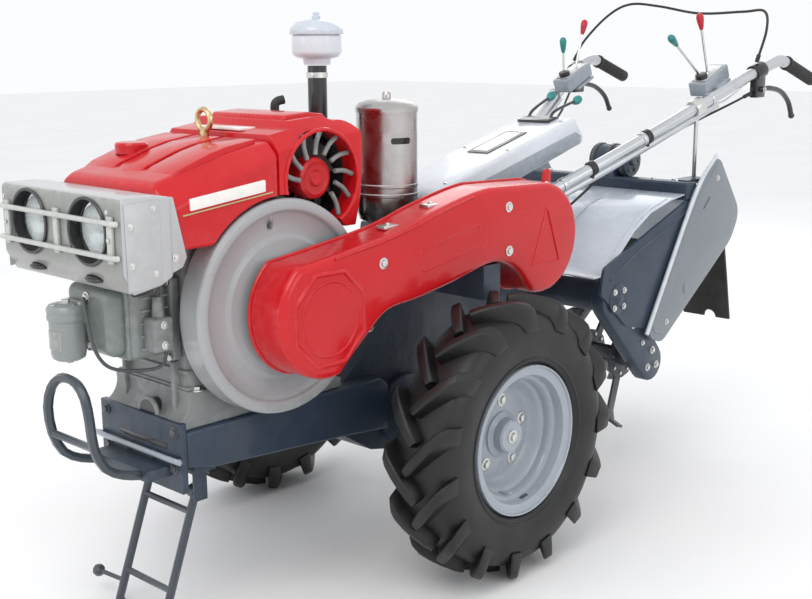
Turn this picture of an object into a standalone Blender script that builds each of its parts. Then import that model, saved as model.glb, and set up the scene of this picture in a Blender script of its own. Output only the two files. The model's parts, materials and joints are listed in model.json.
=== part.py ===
"""A walking tractor with a diesel engine at the front and a rotary tiller behind.

Metres, +X forward, +Y to the left, +Z up. Every size below is measured from the wheel axle's
line in X, from the middle in Y and from the ground in Z. An empty at the axle carries it all,
so the part's origin is on the ground under the middle of its box.
Run it with: blender --background --python part.py
"""

from math import acos, atan2, cos, hypot, pi, radians, sin

import bmesh
import bpy
from mathutils import Matrix, Vector

GAP = 0.0003  # between faces that rest on each other
RUNNING = 0.006  # between pieces that move past each other
BIG = 1.0  # reach of a cutter that goes right through

# wheels
TYRE_R = 0.320
TYRE_HALF = 0.0825
BEAD_HALF = 0.058
RIM_R = 0.1525
RIM_LIP = 0.0175
TRACK_HALF = 0.409
HUB_R = 0.050
AXLE = (0.0, TYRE_R)  # x, z of the wheel axle

# engine
CRANK = (0.446, 0.654)  # x, z of the crankshaft
BLOCK_HALF = 0.120
BLOCK_FRONT = 0.640
BLOCK_REAR = 0.250
BLOCK_TOP = 0.7997
HEAD_FRONT = 0.785
FLYWHEEL_R = 0.222
FLYWHEEL_THICK = 0.065
FLYWHEEL_FACE = 0.200  # y of its outer face
FAN = (0.333, 0.905)  # x, z of the fan
FAN_HOLE_R = 0.100
FAN_R = 0.092
FAN_HUB_R = 0.045

# belt drive
CLUTCH = (-0.270, 0.722)  # x, z of the clutch pulley
ENGINE_PULLEY_R = 0.060
CLUTCH_PULLEY_R = 0.098
IDLER = (-0.095, 0.712)  # x, z of the roller that presses the belts' lower run upwards
IDLER_R = 0.022
COVER_INNER = 0.215
COVER_OUTER = 0.315
COVER_R = 0.132
COVER_WALL = 0.004
BELT_THICK = 0.010
BELT_WIDTH = 0.052

# bonnet
HOOD_HALF = 0.192
HOOD_REAR = 0.218
HOOD_SPLIT = 0.450
TANK_FRONT = 0.725
LAMP_HALF = 0.208
LAMP_FRONT = 0.835
LAMP_Y = 0.102
LAMP_Z = 0.845
LAMP_R = 0.062

# chassis
RAIL_TOP = 0.425
RAIL_OUT = 0.140
RAIL_THICK = 0.040
FRAME_FRONT = 0.665
GEARBOX_HALF = RAIL_OUT - RAIL_THICK - GAP
HOOP_FRONT = 0.840
PIPE_R = 0.010
STAND_PIVOT = (0.605, 0.272)
STAND_FOOT_X = 0.700
STAND_HALF = 0.080

# handles
GRIP_END = (-1.587, 0.341, 1.059)
GRIP_R = 0.019
HANDLE_R = 0.017

# tiller
ROTOR = (-0.790, 0.310)  # x, z of the tine shaft
TINE_R = 0.200
ROTOR_HALF = 0.2597
ARM_THICK = 0.040
SIDE_THICK = 0.008
BEAM = (-0.955, 0.770)
BEAM_SIZE = 0.050
CROSS_TUBE = (-0.600, 0.520)
COVER_PIVOT = (-0.994, 0.752)

FRONT_X = HOOP_FRONT + PIPE_R
REAR_X = GRIP_END[0] - GRIP_R * 0.2
AXLE_X = -(FRONT_X + REAR_X) / 2

RED = (0.72, 0.03, 0.04)
BLUE = (0.075, 0.10, 0.16)
CAST = (0.33, 0.34, 0.34)
PALE = (0.62, 0.63, 0.62)
SILVER = (0.66, 0.69, 0.72)
STEEL = (0.62, 0.62, 0.60)
BLACK = (0.015, 0.015, 0.016)
DARK = (0.06, 0.065, 0.07)


# ---------------------------------------------------------------- scene and materials

def clear_scene():
    for old in list(bpy.data.objects):
        bpy.data.objects.remove(old, do_unlink=True)


clear_scene()
TRACTOR = bpy.data.collections.new("walking_tractor")
CUTTERS = bpy.data.collections.new("cutters")
bpy.context.scene.collection.children.link(TRACTOR)
bpy.context.scene.collection.children.link(CUTTERS)
CUTTERS.hide_render = True
DATUM = bpy.data.objects.new("axle_datum", None)
DATUM.location = (AXLE_X, 0.0, 0.0)
TRACTOR.objects.link(DATUM)


def material(name, colour, roughness, metallic=0.0):
    made = bpy.data.materials.new(name)
    made.use_nodes = True
    shader = made.node_tree.nodes["Principled BSDF"]
    shader.inputs["Base Color"].default_value = (*colour, 1.0)
    shader.inputs["Roughness"].default_value = roughness
    shader.inputs["Metallic"].default_value = metallic
    return made


# ---------------------------------------------------------------- ways of making shapes

def pivot(name, at):
    """An empty on a joint's axis, which a moving body's pieces hang on."""
    empty = bpy.data.objects.new(name, None)
    empty.location = at
    empty.parent = DATUM
    TRACTOR.objects.link(empty)
    return empty


def from_bmesh(name, bm):
    mesh = bpy.data.meshes.new(name)
    bmesh.ops.recalc_face_normals(bm, faces=bm.faces)
    bm.to_mesh(mesh)
    bm.free()
    obj = bpy.data.objects.new(name, mesh)
    CUTTERS.objects.link(obj)
    obj.hide_render = True
    obj.display_type = "WIRE"
    obj.parent = DATUM
    return obj


def box(name, low, high):
    """A box between two corners."""
    bm = bmesh.new()
    size = [b - a for a, b in zip(low, high)]
    middle = [(a + b) / 2 for a, b in zip(low, high)]
    bmesh.ops.create_cube(bm, size=1.0)
    bmesh.ops.scale(bm, vec=size, verts=bm.verts)
    bmesh.ops.translate(bm, vec=middle, verts=bm.verts)
    return from_bmesh(name, bm)


def turn_to(direction):
    return Vector(direction).to_track_quat("Z", "Y").to_matrix().to_4x4()


def rod(name, start, end, radius, end_radius=None, sides=24):
    """A round bar, or a cone, between two points."""
    start, end = Vector(start), Vector(end)
    bm = bmesh.new()
    bmesh.ops.create_cone(
        bm, cap_ends=True, segments=sides, radius1=radius,
        radius2=radius if end_radius is None else end_radius, depth=(end - start).length,
        matrix=Matrix.Translation((start + end) / 2) @ turn_to(end - start))
    return from_bmesh(name, bm)


def ball(name, at, radius, sides=16):
    bm = bmesh.new()
    bmesh.ops.create_uvsphere(bm, u_segments=sides, v_segments=sides // 2, radius=radius,
                              matrix=Matrix.Translation(at))
    return from_bmesh(name, bm)


def slab(name, outline, y_low, y_high):
    """A flat outline in X and Z, as thick as from y_low to y_high."""
    bm = bmesh.new()
    near = [bm.verts.new((x, y_low, z)) for x, z in outline]
    bm.faces.new(near)
    made = bmesh.ops.extrude_face_region(bm, geom=bm.faces[:])
    moved = [v for v in made["geom"] if isinstance(v, bmesh.types.BMVert)]
    bmesh.ops.translate(bm, vec=(0, y_high - y_low, 0), verts=moved)
    return from_bmesh(name, bm)


def turned(name, profile, x, z, steps=48):
    """A profile of radius and y, turned round the line along Y through x, z."""
    bm = bmesh.new()
    points = [bm.verts.new((r, y, 0.0)) for r, y in profile]
    for a, b in zip(points, points[1:]):
        bm.edges.new((a, b))
    bmesh.ops.spin(bm, geom=bm.verts[:] + bm.edges[:], cent=(0, 0, 0), axis=(0, 1, 0),
                   angle=2 * pi, steps=steps)
    bmesh.ops.remove_doubles(bm, verts=bm.verts, dist=1e-6)
    bmesh.ops.translate(bm, vec=(x, 0, z), verts=bm.verts)
    return from_bmesh(name, bm)


def upright(name, profile, x, y, steps=32):
    """A profile of radius and z, turned round the upright line through x, y."""
    bm = bmesh.new()
    points = [bm.verts.new((r, 0.0, z)) for r, z in profile]
    for a, b in zip(points, points[1:]):
        bm.edges.new((a, b))
    bmesh.ops.spin(bm, geom=bm.verts[:] + bm.edges[:], cent=(0, 0, 0), axis=(0, 0, 1),
                   angle=2 * pi, steps=steps)
    bmesh.ops.remove_doubles(bm, verts=bm.verts, dist=1e-6)
    bmesh.ops.translate(bm, vec=(x, y, 0), verts=bm.verts)
    return from_bmesh(name, bm)


def smooth_through(points, steps):
    """Points on a Catmull-Rom curve through the given ones."""
    given = [Vector(p) for p in points]
    given = [2 * given[0] - given[1]] + given + [2 * given[-1] - given[-2]]
    path = []
    for a, b, c, d in zip(given, given[1:], given[2:], given[3:]):
        for step in range(steps):
            t = step / steps
            path.append(((2 * b) + (c - a) * t + (2 * a - 5 * b + 4 * c - d) * t * t
                         + (3 * b - a - 3 * c + d) * t * t * t) / 2)
    return path + [given[-2]]


def tube(name, points, radius, steps=4, fine=3):
    """A bent round bar through the points, as a closed mesh."""
    curve = bpy.data.curves.new(name, "CURVE")
    curve.dimensions = "3D"
    curve.bevel_depth = radius
    curve.bevel_resolution = fine
    curve.use_fill_caps = True
    path = smooth_through(points, steps) if steps > 1 else [Vector(p) for p in points]
    spline = curve.splines.new("POLY")
    spline.points.add(len(path) - 1)
    for point, at in zip(spline.points, path):
        point.co = (*at, 1.0)
    guide = bpy.data.objects.new(name + "_curve", curve)
    CUTTERS.objects.link(guide)
    bpy.context.view_layer.update()
    mesh = bpy.data.meshes.new_from_object(
        guide.evaluated_get(bpy.context.evaluated_depsgraph_get()))
    bpy.data.objects.remove(guide, do_unlink=True)
    bm = bmesh.new()
    bm.from_mesh(mesh)
    bpy.data.meshes.remove(mesh)
    bmesh.ops.remove_doubles(bm, verts=bm.verts, dist=1e-5)
    return from_bmesh(name, bm)


def several(name, pieces):
    """Pieces that don't touch each other, made one mesh, so that one Boolean takes them all."""
    bm = bmesh.new()
    for piece in pieces:
        bm.from_mesh(piece.data)
        bpy.data.objects.remove(piece, do_unlink=True)
    return from_bmesh(name, bm)


def boolean(base, tool, operation):
    step = base.modifiers.new(operation.lower() + "_" + tool.name, "BOOLEAN")
    step.object = tool
    step.operation = operation
    return base


def join(base, *tools):
    for tool in tools:
        boolean(base, tool, "UNION")
    return base


def cut(base, *tools):
    for tool in tools:
        boolean(base, tool, "DIFFERENCE")
    return base


def bevelled(obj, width, segments=2, angle=30):
    """Rounds the sharp edges."""
    step = obj.modifiers.new("rounding", "BEVEL")
    step.width = width
    step.segments = segments
    step.limit_method = "ANGLE"
    step.angle_limit = radians(angle)
    return obj


def part(obj, name, surface, parent=None, smooth=True):
    """Makes a shape a piece of the tractor, with its own name and material."""
    CUTTERS.objects.unlink(obj)
    TRACTOR.objects.link(obj)
    obj.name = name
    obj.data.name = name
    obj.hide_render = False
    obj.display_type = "TEXTURED"
    obj.data.materials.clear()
    obj.data.materials.append(surface)
    if smooth:
        obj.data.shade_smooth()
        obj.data.set_sharp_from_angle(angle=radians(35))
    if parent:
        obj.parent = parent
        obj.matrix_parent_inverse = Matrix.Translation(parent.location).inverted()
    return obj


def arc(x, z, radius, start, end, count):
    """Points of an arc in X and Z, with its angles in degrees from +X towards +Z."""
    angles = [radians(start + (end - start) * k / count) for k in range(count + 1)]
    return [(x + radius * cos(a), z + radius * sin(a)) for a in angles]


def both_sides():
    return ((1, "left"), (-1, "right"))


# ---------------------------------------------------------------- wheels

def make_wheel(side, word):
    """A tyre and its rim on one free axle. The rim's disc is set in from the outer lip."""
    hub = pivot("wheel_axis_" + word, (AXLE[0], side * TRACK_HALF, AXLE[1]))
    middle = side * TRACK_HALF
    lip_r = RIM_R + RIM_LIP
    half = [(RIM_R + GAP, BEAD_HALF), (lip_r + 0.003, BEAD_HALF), (0.215, TYRE_HALF),
            (0.285, TYRE_HALF), (TYRE_R, 0.060)]
    ring = [(r, middle + y) for r, y in half] + [(r, middle - y) for r, y in reversed(half)]
    part(turned("tyre", ring + ring[:1], *AXLE, steps=32), "tyre_" + word, TYRE_RUBBER, hub)
    lip = BEAD_HALF + 0.010
    wall = 0.006
    bead = BEAD_HALF + GAP
    half = [(0.0, -0.1085), (HUB_R, -0.1085), (HUB_R, -0.004), (RIM_R - wall, -0.020),
            (RIM_R - wall, -lip), (lip_r, -lip), (lip_r, -bead), (RIM_R, -bead), (RIM_R, bead),
            (lip_r, bead), (lip_r, lip), (RIM_R - wall, lip), (RIM_R - wall, -0.010),
            (HUB_R, 0.006), (HUB_R - 0.012, 0.026), (0.0, 0.026)]
    dish = [(r, middle + side * y) for r, y in half]
    part(turned("rim", dish, *AXLE, steps=32), "rim_" + word, RIM_PAINT, hub)


def make_axle_housing(side, word):
    inner = side * (GEARBOX_HALF + GAP)
    outer = side * (TRACK_HALF - 0.1085 - GAP)
    x, z = AXLE
    profile = [(0.0, inner), (0.085, inner), (0.085, inner + side * 0.016),
               (0.056, inner + side * 0.024), (0.048, inner + side * 0.10),
               (0.048, outer - side * 0.030), (0.062, outer - side * 0.026), (0.062, outer),
               (0.0, outer)]
    part(turned("axle_housing", profile, x, z, steps=20), "axle_housing_" + word, BLUE_PAINT)


# ---------------------------------------------------------------- chassis

def make_rail(side, word):
    """A side member: its lower edge rises towards the front, and its rear end holds the gearbox."""
    outline = [(FRAME_FRONT - GAP, RAIL_TOP), (FRAME_FRONT - GAP, 0.352), (0.595, 0.336),
               (0.223, 0.310), (0.090, 0.296), (0.090, 0.405), (0.115, RAIL_TOP)]
    low, high = sorted((side * (RAIL_OUT - RAIL_THICK), side * RAIL_OUT))
    rail = bevelled(slab("rail", outline, low, high), 0.004, 1)
    part(rail, "frame_rail_" + word, BLUE_PAINT)


def make_front_plate():
    """The cross plate that ties the rails, with the hoop's and the stand's lugs."""
    plate = box("plate", (FRAME_FRONT, -RAIL_OUT, 0.300), (FRAME_FRONT + 0.014, RAIL_OUT, 0.445))
    ledge = box("ledge", (FRAME_FRONT + 0.010, -0.100, 0.330), (0.735, 0.100, 0.352))
    inner = RAIL_OUT - RAIL_THICK - GAP
    beam = box("beam", (0.535, -inner, 0.330), (0.600, inner, RAIL_TOP - 0.006))
    lugs = []
    x, z = STAND_PIVOT
    for side in (1, -1):
        y = side * (STAND_HALF + 0.0155)
        lug = box("lug", (x - 0.016, y - 0.0035, z - 0.016), (x + 0.016, y + 0.0035, 0.325))
        lugs.append(lug)
    web = box("web", (x - 0.040, -inner, 0.315), (x + 0.016, inner, 0.3347))
    pin = rod("pin", (x, -STAND_HALF - 0.019, z), (x, STAND_HALF + 0.019, z), 0.006, sides=16)
    post = box("post", (x - 0.050, -0.060, 0.340), (FRAME_FRONT + 0.005, 0.060, 0.400))
    part(join(plate, ledge, beam, web, several("lugs", lugs), pin, post), "front_plate", BLUE_PAINT)


def make_bumper():
    """The pipe hoop in front, with its crossbar."""
    y = 0.075
    points = [(0.7378, y, 0.341), (0.775, y, 0.352), (0.812, y, 0.375), (0.834, y, 0.42),
              (HOOP_FRONT, y, 0.475), (0.838, 0.060, 0.518), (0.836, 0.032, 0.541),
              (0.835, 0.0, 0.546)]
    other = [(px, -py, pz) for px, py, pz in reversed(points[:-1])]
    hoop = tube("hoop", points + other, PIPE_R, steps=2, fine=1)
    bar = rod("bar", (0.834, -y, 0.42), (0.834, y, 0.42), 0.008, sides=8)
    part(join(hoop, bar), "front_bumper", BLUE_PAINT)


def make_stand():
    """Two legs hinged under the frame, leaning forward on their stop, with two rungs."""
    hinge = pivot("stand_axis", (STAND_PIVOT[0], 0.0, STAND_PIVOT[1]))
    x, z = STAND_PIVOT
    legs, rungs = [], []
    for side in (1, -1):
        y = side * STAND_HALF
        eye = rod("eye", (x, y - 0.010, z), (x, y + 0.010, z), 0.016, sides=12)
        leg = rod("leg", (x, y, z), (STAND_FOOT_X, y, 0.010), 0.009, sides=8)
        foot = rod("foot", (STAND_FOOT_X - 0.012, y, 0.006), (STAND_FOOT_X + 0.020, y, 0.006), 0.006,
                   sides=8)
        legs.append(join(eye, leg, foot))
    for share in (0.16, 0.76):
        at = (x + (STAND_FOOT_X - x) * share, z + (0.010 - z) * share)
        rungs.append(rod("rung", (at[0], -STAND_HALF, at[1]), (at[0], STAND_HALF, at[1]), 0.007,
                         sides=8))
    bores = rod("bores", (x, -0.2, z), (x, 0.2, z), 0.0063, sides=16)
    pedal = rod("pedal", (0.686, -STAND_HALF, 0.050), (0.696, -0.155, 0.052), 0.005, sides=8)
    knob = ball("pedal_knob", (0.697, -0.160, 0.052), 0.014, sides=10)
    frame = join(legs[0], legs[1], *rungs, pedal, knob)
    part(cut(frame, bores), "front_stand", BLUE_PAINT, hinge)


def make_gearbox():
    """The transmission casting between the wheels, with the clutch housing at its upper rear."""
    outline = [(0.110, 0.240), (0.205, 0.300), (0.205, 0.418), (0.125, 0.480), (0.060, 0.600),
               (-0.050, 0.690), (-0.062, 0.745), (-0.150, 0.760), (-0.200, 0.800),
               (-0.350, 0.800), (-0.3805, 0.720), (-0.3805, 0.420), (-0.140, 0.225),
               (0.040, 0.225)]
    case = slab("case", outline, -GEARBOX_HALF, GEARBOX_HALF)
    boss = rod("boss", (CLUTCH[0], 0.080, CLUTCH[1]), (CLUTCH[0], 0.195, CLUTCH[1]), 0.050, 0.040)
    cover = rod("cover", (-0.22, -0.08, 0.52), (-0.22, -0.124, 0.52), 0.095, 0.085)
    strap = box("strap", (-0.125, GEARBOX_HALF - 0.02, 0.600), (-0.065, COVER_OUTER - 0.02, 0.6797))
    x, z = IDLER
    axle = rod("idler_axle", (x, 0.080, z), (x, COVER_INNER + 0.002, z), 0.012, sides=12)
    roller = rod("idler", (x, COVER_INNER + 0.001, z), (x, COVER_INNER + 0.070, z), IDLER_R, sides=20)
    part(join(case, boss, cover, strap, axle, roller), "gearbox", BLUE_PAINT)


# ---------------------------------------------------------------- engine

def make_engine():
    half = BLOCK_HALF
    block = box("block", (BLOCK_REAR, -half, 0.440), (BLOCK_FRONT, half, BLOCK_TOP))
    foot = box("foot", (BLOCK_REAR - 0.02, -half - 0.008, RAIL_TOP + GAP), (FRAME_FRONT, half + 0.008, 0.446))
    bearing = rod("bearing", (CRANK[0], 0.10, CRANK[1]), (CRANK[0], 0.128, CRANK[1]), 0.055)
    sump = box("sump", (BLOCK_REAR + 0.02, -0.090, 0.350), (0.490, 0.090, RAIL_TOP + 0.01))
    part(join(bevelled(block, 0.018, 3), foot, bearing, sump), "engine_block", CAST_PAINT)
    head = box("head", (BLOCK_FRONT + GAP, -0.095, 0.575), (HEAD_FRONT, 0.095, 0.728))
    part(bevelled(head, 0.014, 3), "cylinder_head", CAST_PAINT)
    cover = slab("cover", arc(0.52, 0.60, 0.11, -90, 90, 10) + arc(0.40, 0.63, 0.14, 90, 270, 12),
                 -BLOCK_HALF - GAP - 0.055, -BLOCK_HALF - GAP)
    part(bevelled(cover, 0.012, 3), "timing_cover", CAST_PAINT)


def make_flywheel():
    """Flywheel and engine pulley, on the crankshaft."""
    hinge = pivot("crank_axis", (CRANK[0], FLYWHEEL_FACE, CRANK[1]))
    face, back = FLYWHEEL_FACE, FLYWHEEL_FACE - FLYWHEEL_THICK
    start = 0.128 + GAP
    profile = [(0.0, start), (0.036, start), (0.036, back), (FLYWHEEL_R - 0.004, back),
               (FLYWHEEL_R, back + 0.004), (FLYWHEEL_R, face - 0.004), (FLYWHEEL_R - 0.004, face),
               (FLYWHEEL_R - 0.030, face), (FLYWHEEL_R - 0.036, face - 0.010), (0.120, face - 0.010),
               (0.112, face - 0.002), (0.0, face - 0.002)]
    wheel = turned("wheel", profile, *CRANK, steps=44)
    hole = rod("hole", (CRANK[0] + 0.03, face - 0.03, CRANK[1] + 0.17),
               (CRANK[0] + 0.03, face + 0.03, CRANK[1] + 0.17), 0.009, sides=16)
    inner, outer = COVER_INNER + 0.008, COVER_INNER + 0.018 + BELT_WIDTH
    r = ENGINE_PULLEY_R
    profile = [(0.0, face - 0.012), (0.045, face - 0.012), (0.045, inner), (r, inner),
               (r, inner + 0.004), (r - BELT_THICK, inner + 0.004), (r - BELT_THICK, outer - 0.004),
               (r, outer - 0.004), (r, outer), (0.0, outer)]
    part(join(cut(wheel, hole), turned("pulley", profile, *CRANK, steps=24)), "flywheel", PALE_PAINT,
         hinge)


def make_clutch_pulley():
    hinge = pivot("clutch_axis", (CLUTCH[0], COVER_INNER, CLUTCH[1]))
    inner, outer = COVER_INNER + 0.008, COVER_INNER + 0.018 + BELT_WIDTH
    r = CLUTCH_PULLEY_R
    profile = [(0.0, 0.195 + GAP), (0.024, 0.195 + GAP), (0.024, inner + 0.012),
               (r - BELT_THICK - 0.012, inner + 0.012), (r - BELT_THICK - 0.012, inner), (r, inner),
               (r, inner + 0.004), (r - BELT_THICK, inner + 0.004), (r - BELT_THICK, outer - 0.004),
               (r, outer - 0.004), (r, outer), (0.0, outer)]
    part(turned("pulley", profile, *CLUTCH, steps=28), "clutch_pulley", CAST_PAINT, hinge)


def belt_outline(extra):
    """The belts' inner side as a closed line, or one that lies this much outside it.

    A belt keeps each wheel's centre on its left, so the roller that it passes backwards
    counts as a wheel of negative radius.
    """
    wheels = [(CRANK, ENGINE_PULLEY_R - BELT_THICK + 3 * GAP + extra),
              (CLUTCH, CLUTCH_PULLEY_R - BELT_THICK + 3 * GAP + extra),
              (IDLER, extra - IDLER_R - 3 * GAP - BELT_THICK)]
    normals = []
    for k, ((x, z), r) in enumerate(wheels):
        (next_x, next_z), next_r = wheels[(k + 1) % 3]
        dx, dz = next_x - x, next_z - z
        normals.append(atan2(dz, dx) - acos((r - next_r) / hypot(dx, dz)))
    points = []
    for k, ((x, z), r) in enumerate(wheels):
        start, end = normals[k - 1], normals[k]
        sweep = (end - start) % (2 * pi)
        if r < 0:
            sweep -= 2 * pi
        steps = 16 if r > 0 else 6
        points += [(x + r * cos(start + sweep * n / steps), z + r * sin(start + sweep * n / steps))
                   for n in range(steps + 1)]
    return points


def make_belts():
    low = COVER_INNER + 0.014
    high = low + BELT_WIDTH - 0.002
    loop = slab("loop", belt_outline(BELT_THICK), low, high)
    inside = slab("inside", belt_outline(0.0), low - 0.02, high + 0.02)
    part(cut(loop, inside), "drive_belts", BLACK_PLASTIC)


def cover_outline(inset):
    """The belt cover's side view: a round end at each pulley, and a band that dips between."""
    r = COVER_R - inset
    dip = 0.683 + inset
    front = arc(0.428, 0.652, r, -100, 52, 16)
    top = [(0.106, 0.828 - inset), (-0.030, 0.858 - inset)]
    rear = arc(*CLUTCH, r, 92, 290, 20)
    bottom = [(-0.125, dip - 0.003), (-0.065, dip - 0.003), (0.167, 0.643 + inset),
              (0.262, 0.632 + inset), (0.325, 0.590 + inset)]
    return front + top + rear + bottom


def make_belt_cover():
    back = COVER_INNER - 0.02
    shell = slab("shell", cover_outline(0.0), back, COVER_OUTER)
    hollow = slab("hollow", cover_outline(COVER_WALL), back - 0.02, COVER_OUTER - COVER_WALL)
    trim = box("trim", (-BIG, back - 0.02, 0.0), (BIG, COVER_INNER, BIG))
    cut(bevelled(shell, 0.010, 3, angle=50), hollow, trim)
    part(shell, "belt_cover", RED_PAINT)


# ---------------------------------------------------------------- bonnet

def flywheel_arch(name):
    """What the bonnet's left side leaves free for the flywheel."""
    low = FLYWHEEL_FACE - FLYWHEEL_THICK - RUNNING - 0.002
    return rod(name, (CRANK[0], low, CRANK[1]), (CRANK[0], low + BIG, CRANK[1]),
               FLYWHEEL_R + RUNNING, sides=44)


def make_tank():
    """The fuel tank, which is the bonnet's flat front half."""
    half = HOOD_HALF
    outline = [(TANK_FRONT, 0.860), (0.700, BLOCK_TOP + GAP), (HOOD_SPLIT + GAP, BLOCK_TOP + GAP),
               (HOOD_SPLIT + GAP, 0.992), (0.560, 0.972), (TANK_FRONT - 0.010, 0.928),
               (TANK_FRONT, 0.915)]
    tank = bevelled(slab("tank", outline, -half, half), 0.014, 3, angle=40)
    cap = [(0.0, 0.940), (0.034, 0.940), (0.034, 0.990), (0.028, 0.994), (0.0, 0.994)]
    join(tank, upright("cap", cap, 0.600, -0.060))
    part(cut(tank, flywheel_arch("tank_arch")), "fuel_tank", RED_PAINT)


def make_hood():
    """The radiator's bonnet, with the round opening where the fan blows out."""
    half = HOOD_HALF
    split = HOOD_SPLIT - GAP
    outline = [(split, BLOCK_TOP + GAP), (split, 1.002), (0.380, 1.016), (0.372, 1.030),
               (0.275, 1.034), (0.240, 1.022), (0.222, 0.990), (HOOD_REAR, 0.950),
               (0.240, BLOCK_TOP + GAP)]
    hood = bevelled(slab("hood", outline, -half, half), 0.014, 3, angle=25)
    x, z = FAN
    opening = rod("fan_opening", (x, 0.072, z), (x, BIG, z), FAN_HOLE_R, sides=32)
    part(cut(hood, flywheel_arch("hood_arch"), opening), "radiator_hood", RED_PAINT)
    hinge = pivot("fan_axis", (x, 0.1, z))
    profile = [(0.0, 0.072 + GAP), (0.012, 0.072 + GAP), (0.012, 0.094), (0.034, 0.094),
               (0.034, 0.122), (FAN_HUB_R, 0.128), (FAN_HUB_R, 0.168), (0.038, 0.174), (0.0, 0.174)]
    hub = turned("hub", profile, x, z, steps=20)
    blades = []
    for k in range(8):
        blade = box("blade", (0.026, 0.1075, -0.019), (FAN_R, 0.1105, 0.019))
        blade.data.transform(Matrix.Translation((0, 0.109, 0)) @ Matrix.Rotation(radians(28), 4, "X")
                             @ Matrix.Translation((0, -0.109, 0)))
        blade.data.transform(Matrix.Translation((x, 0, z)) @ Matrix.Rotation(2 * pi * k / 8, 4, "Y"))
        blades.append(blade)
    part(join(hub, several("blades", blades)), "radiator_fan", PALE_PAINT, hinge)
    make_lifting_eye()


def make_lifting_eye():
    """A ring bolt between the tank and the radiator."""
    x, ring_z, ring_r = 0.485, 1.016, 0.016
    shank = rod("shank", (x, 0, 0.9874), (x, 0, ring_z - ring_r), 0.007, sides=12)
    bm = bmesh.new()
    ring = [bm.verts.new((x + 0.0045 * cos(a), ring_r + 0.0045 * sin(a), ring_z))
            for a in (2 * pi * k / 8 for k in range(8))]
    edges = [bm.edges.new((a, b)) for a, b in zip(ring, ring[1:] + ring[:1])]
    bmesh.ops.spin(bm, geom=ring + edges, cent=(x, 0, ring_z), axis=(1, 0, 0), angle=2 * pi, steps=16)
    bmesh.ops.remove_doubles(bm, verts=bm.verts, dist=1e-6)
    part(join(shank, from_bmesh("ring", bm)), "lifting_eye", STEEL_PLATE)


def make_lamp_box():
    """The square lamp housing in front of the tank, with two round lamps behind two guard bars."""
    back = TANK_FRONT + GAP
    outline = [(back, 0.760), (0.752, 0.745), (LAMP_FRONT - 0.020, 0.735), (LAMP_FRONT, 0.775),
               (LAMP_FRONT, 0.905), (LAMP_FRONT - 0.006, 0.913), (back, 0.905)]
    house = bevelled(slab("house", outline, -LAMP_HALF, LAMP_HALF), 0.006, 2)
    holes, seats = [], []
    for side, word in both_sides():
        y = side * LAMP_Y
        deep = LAMP_FRONT - 0.045
        holes.append(rod("hole", (deep, y, LAMP_Z), (LAMP_FRONT + 0.1, y, LAMP_Z), LAMP_R, sides=28))
        r = LAMP_R - 0.004
        lamp = rod("lamp", (deep + GAP, y, LAMP_Z), (LAMP_FRONT - 0.004, y, LAMP_Z), r, sides=28)
        part(bevelled(lamp, 0.008, 1), "headlamp_" + word, LAMP_GLASS)
    cut(house, several("lamp_holes", holes))
    part(house, "lamp_box", PALE_PAINT)
    x = LAMP_FRONT + GAP
    bars, posts = [], []
    for z in (0.868, 0.806):
        bars.append(rod("bar", (x + 0.009, -LAMP_HALF + 0.008, z), (x + 0.009, LAMP_HALF - 0.008, z),
                        0.0055, sides=8))
    for y in (-LAMP_HALF + 0.016, 0.0, LAMP_HALF - 0.016):
        posts.append(box("post", (x, y - 0.007, 0.795), (x + 0.009, y + 0.007, 0.880)))
    part(join(several("bars", bars), *posts), "lamp_guard", PALE_PAINT)


# ---------------------------------------------------------------- engine's fittings

def make_fuel_filter():
    """A canister hung in front of the cylinder head."""
    x, y = 0.812, -0.030
    profile = [(0.0, 0.572), (0.026, 0.572), (0.034, 0.582), (0.036, 0.655), (0.038, 0.658),
               (0.038, 0.684), (0.020, 0.690), (0.0, 0.690)]
    can = upright("can", profile, x, y, steps=20)
    arm = box("arm", (HEAD_FRONT + GAP, y - 0.012, 0.660), (x, y + 0.012, 0.680))
    cut_x = HEAD_FRONT + GAP
    keep = box("keep", (-BIG, -BIG, 0.0), (cut_x, BIG, BIG))
    part(cut(join(can, arm), keep), "fuel_filter", PALE_PAINT)


def make_air_cleaner():
    x, y = 0.130, -0.040
    body = upright("body", [(0.0, 0.655), (0.048, 0.655), (0.052, 0.662), (0.052, 0.850),
                            (0.040, 0.866), (0.022, 0.872), (0.022, 1.1297), (0.0, 1.1297)], x, y, steps=20)
    neck = rod("neck", (x, y, 0.735), (BLOCK_REAR - GAP, y, 0.735), 0.024)
    part(join(body, neck), "air_cleaner", BLACK_PLASTIC)
    top = [(0.0, 1.130), (0.030, 1.130), (0.032, 1.144), (0.052, 1.150), (0.056, 1.156),
           (0.056, 1.196), (0.060, 1.200), (0.060, 1.212), (0.046, 1.226), (0.016, 1.232),
           (0.008, 1.234), (0.008, 1.248), (0.0, 1.248)]
    part(upright("top", top, x, y, steps=24), "pre_cleaner", PALE_PAINT)


def make_muffler():
    x, y = 0.040, 0.092
    body = [(0.0, 0.775), (0.050, 0.775), (0.066, 0.785), (0.070, 0.800), (0.070, 1.035),
            (0.066, 1.048), (0.050, 1.056), (0.012, 1.060), (0.010, 1.072), (0.0, 1.072)]
    can = upright("can", body, x, y, steps=28)
    points = [(BLOCK_REAR - 2 * GAP, 0.075, 0.700), (0.180, 0.078, 0.700), (0.080, 0.088, 0.704),
              (0.046, 0.092, 0.728), (x, y, 0.790)]
    pipe = tube("pipe", points, 0.018, steps=3, fine=2)
    part(join(can, pipe), "muffler", STAINLESS)


# ---------------------------------------------------------------- handles and controls

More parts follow.
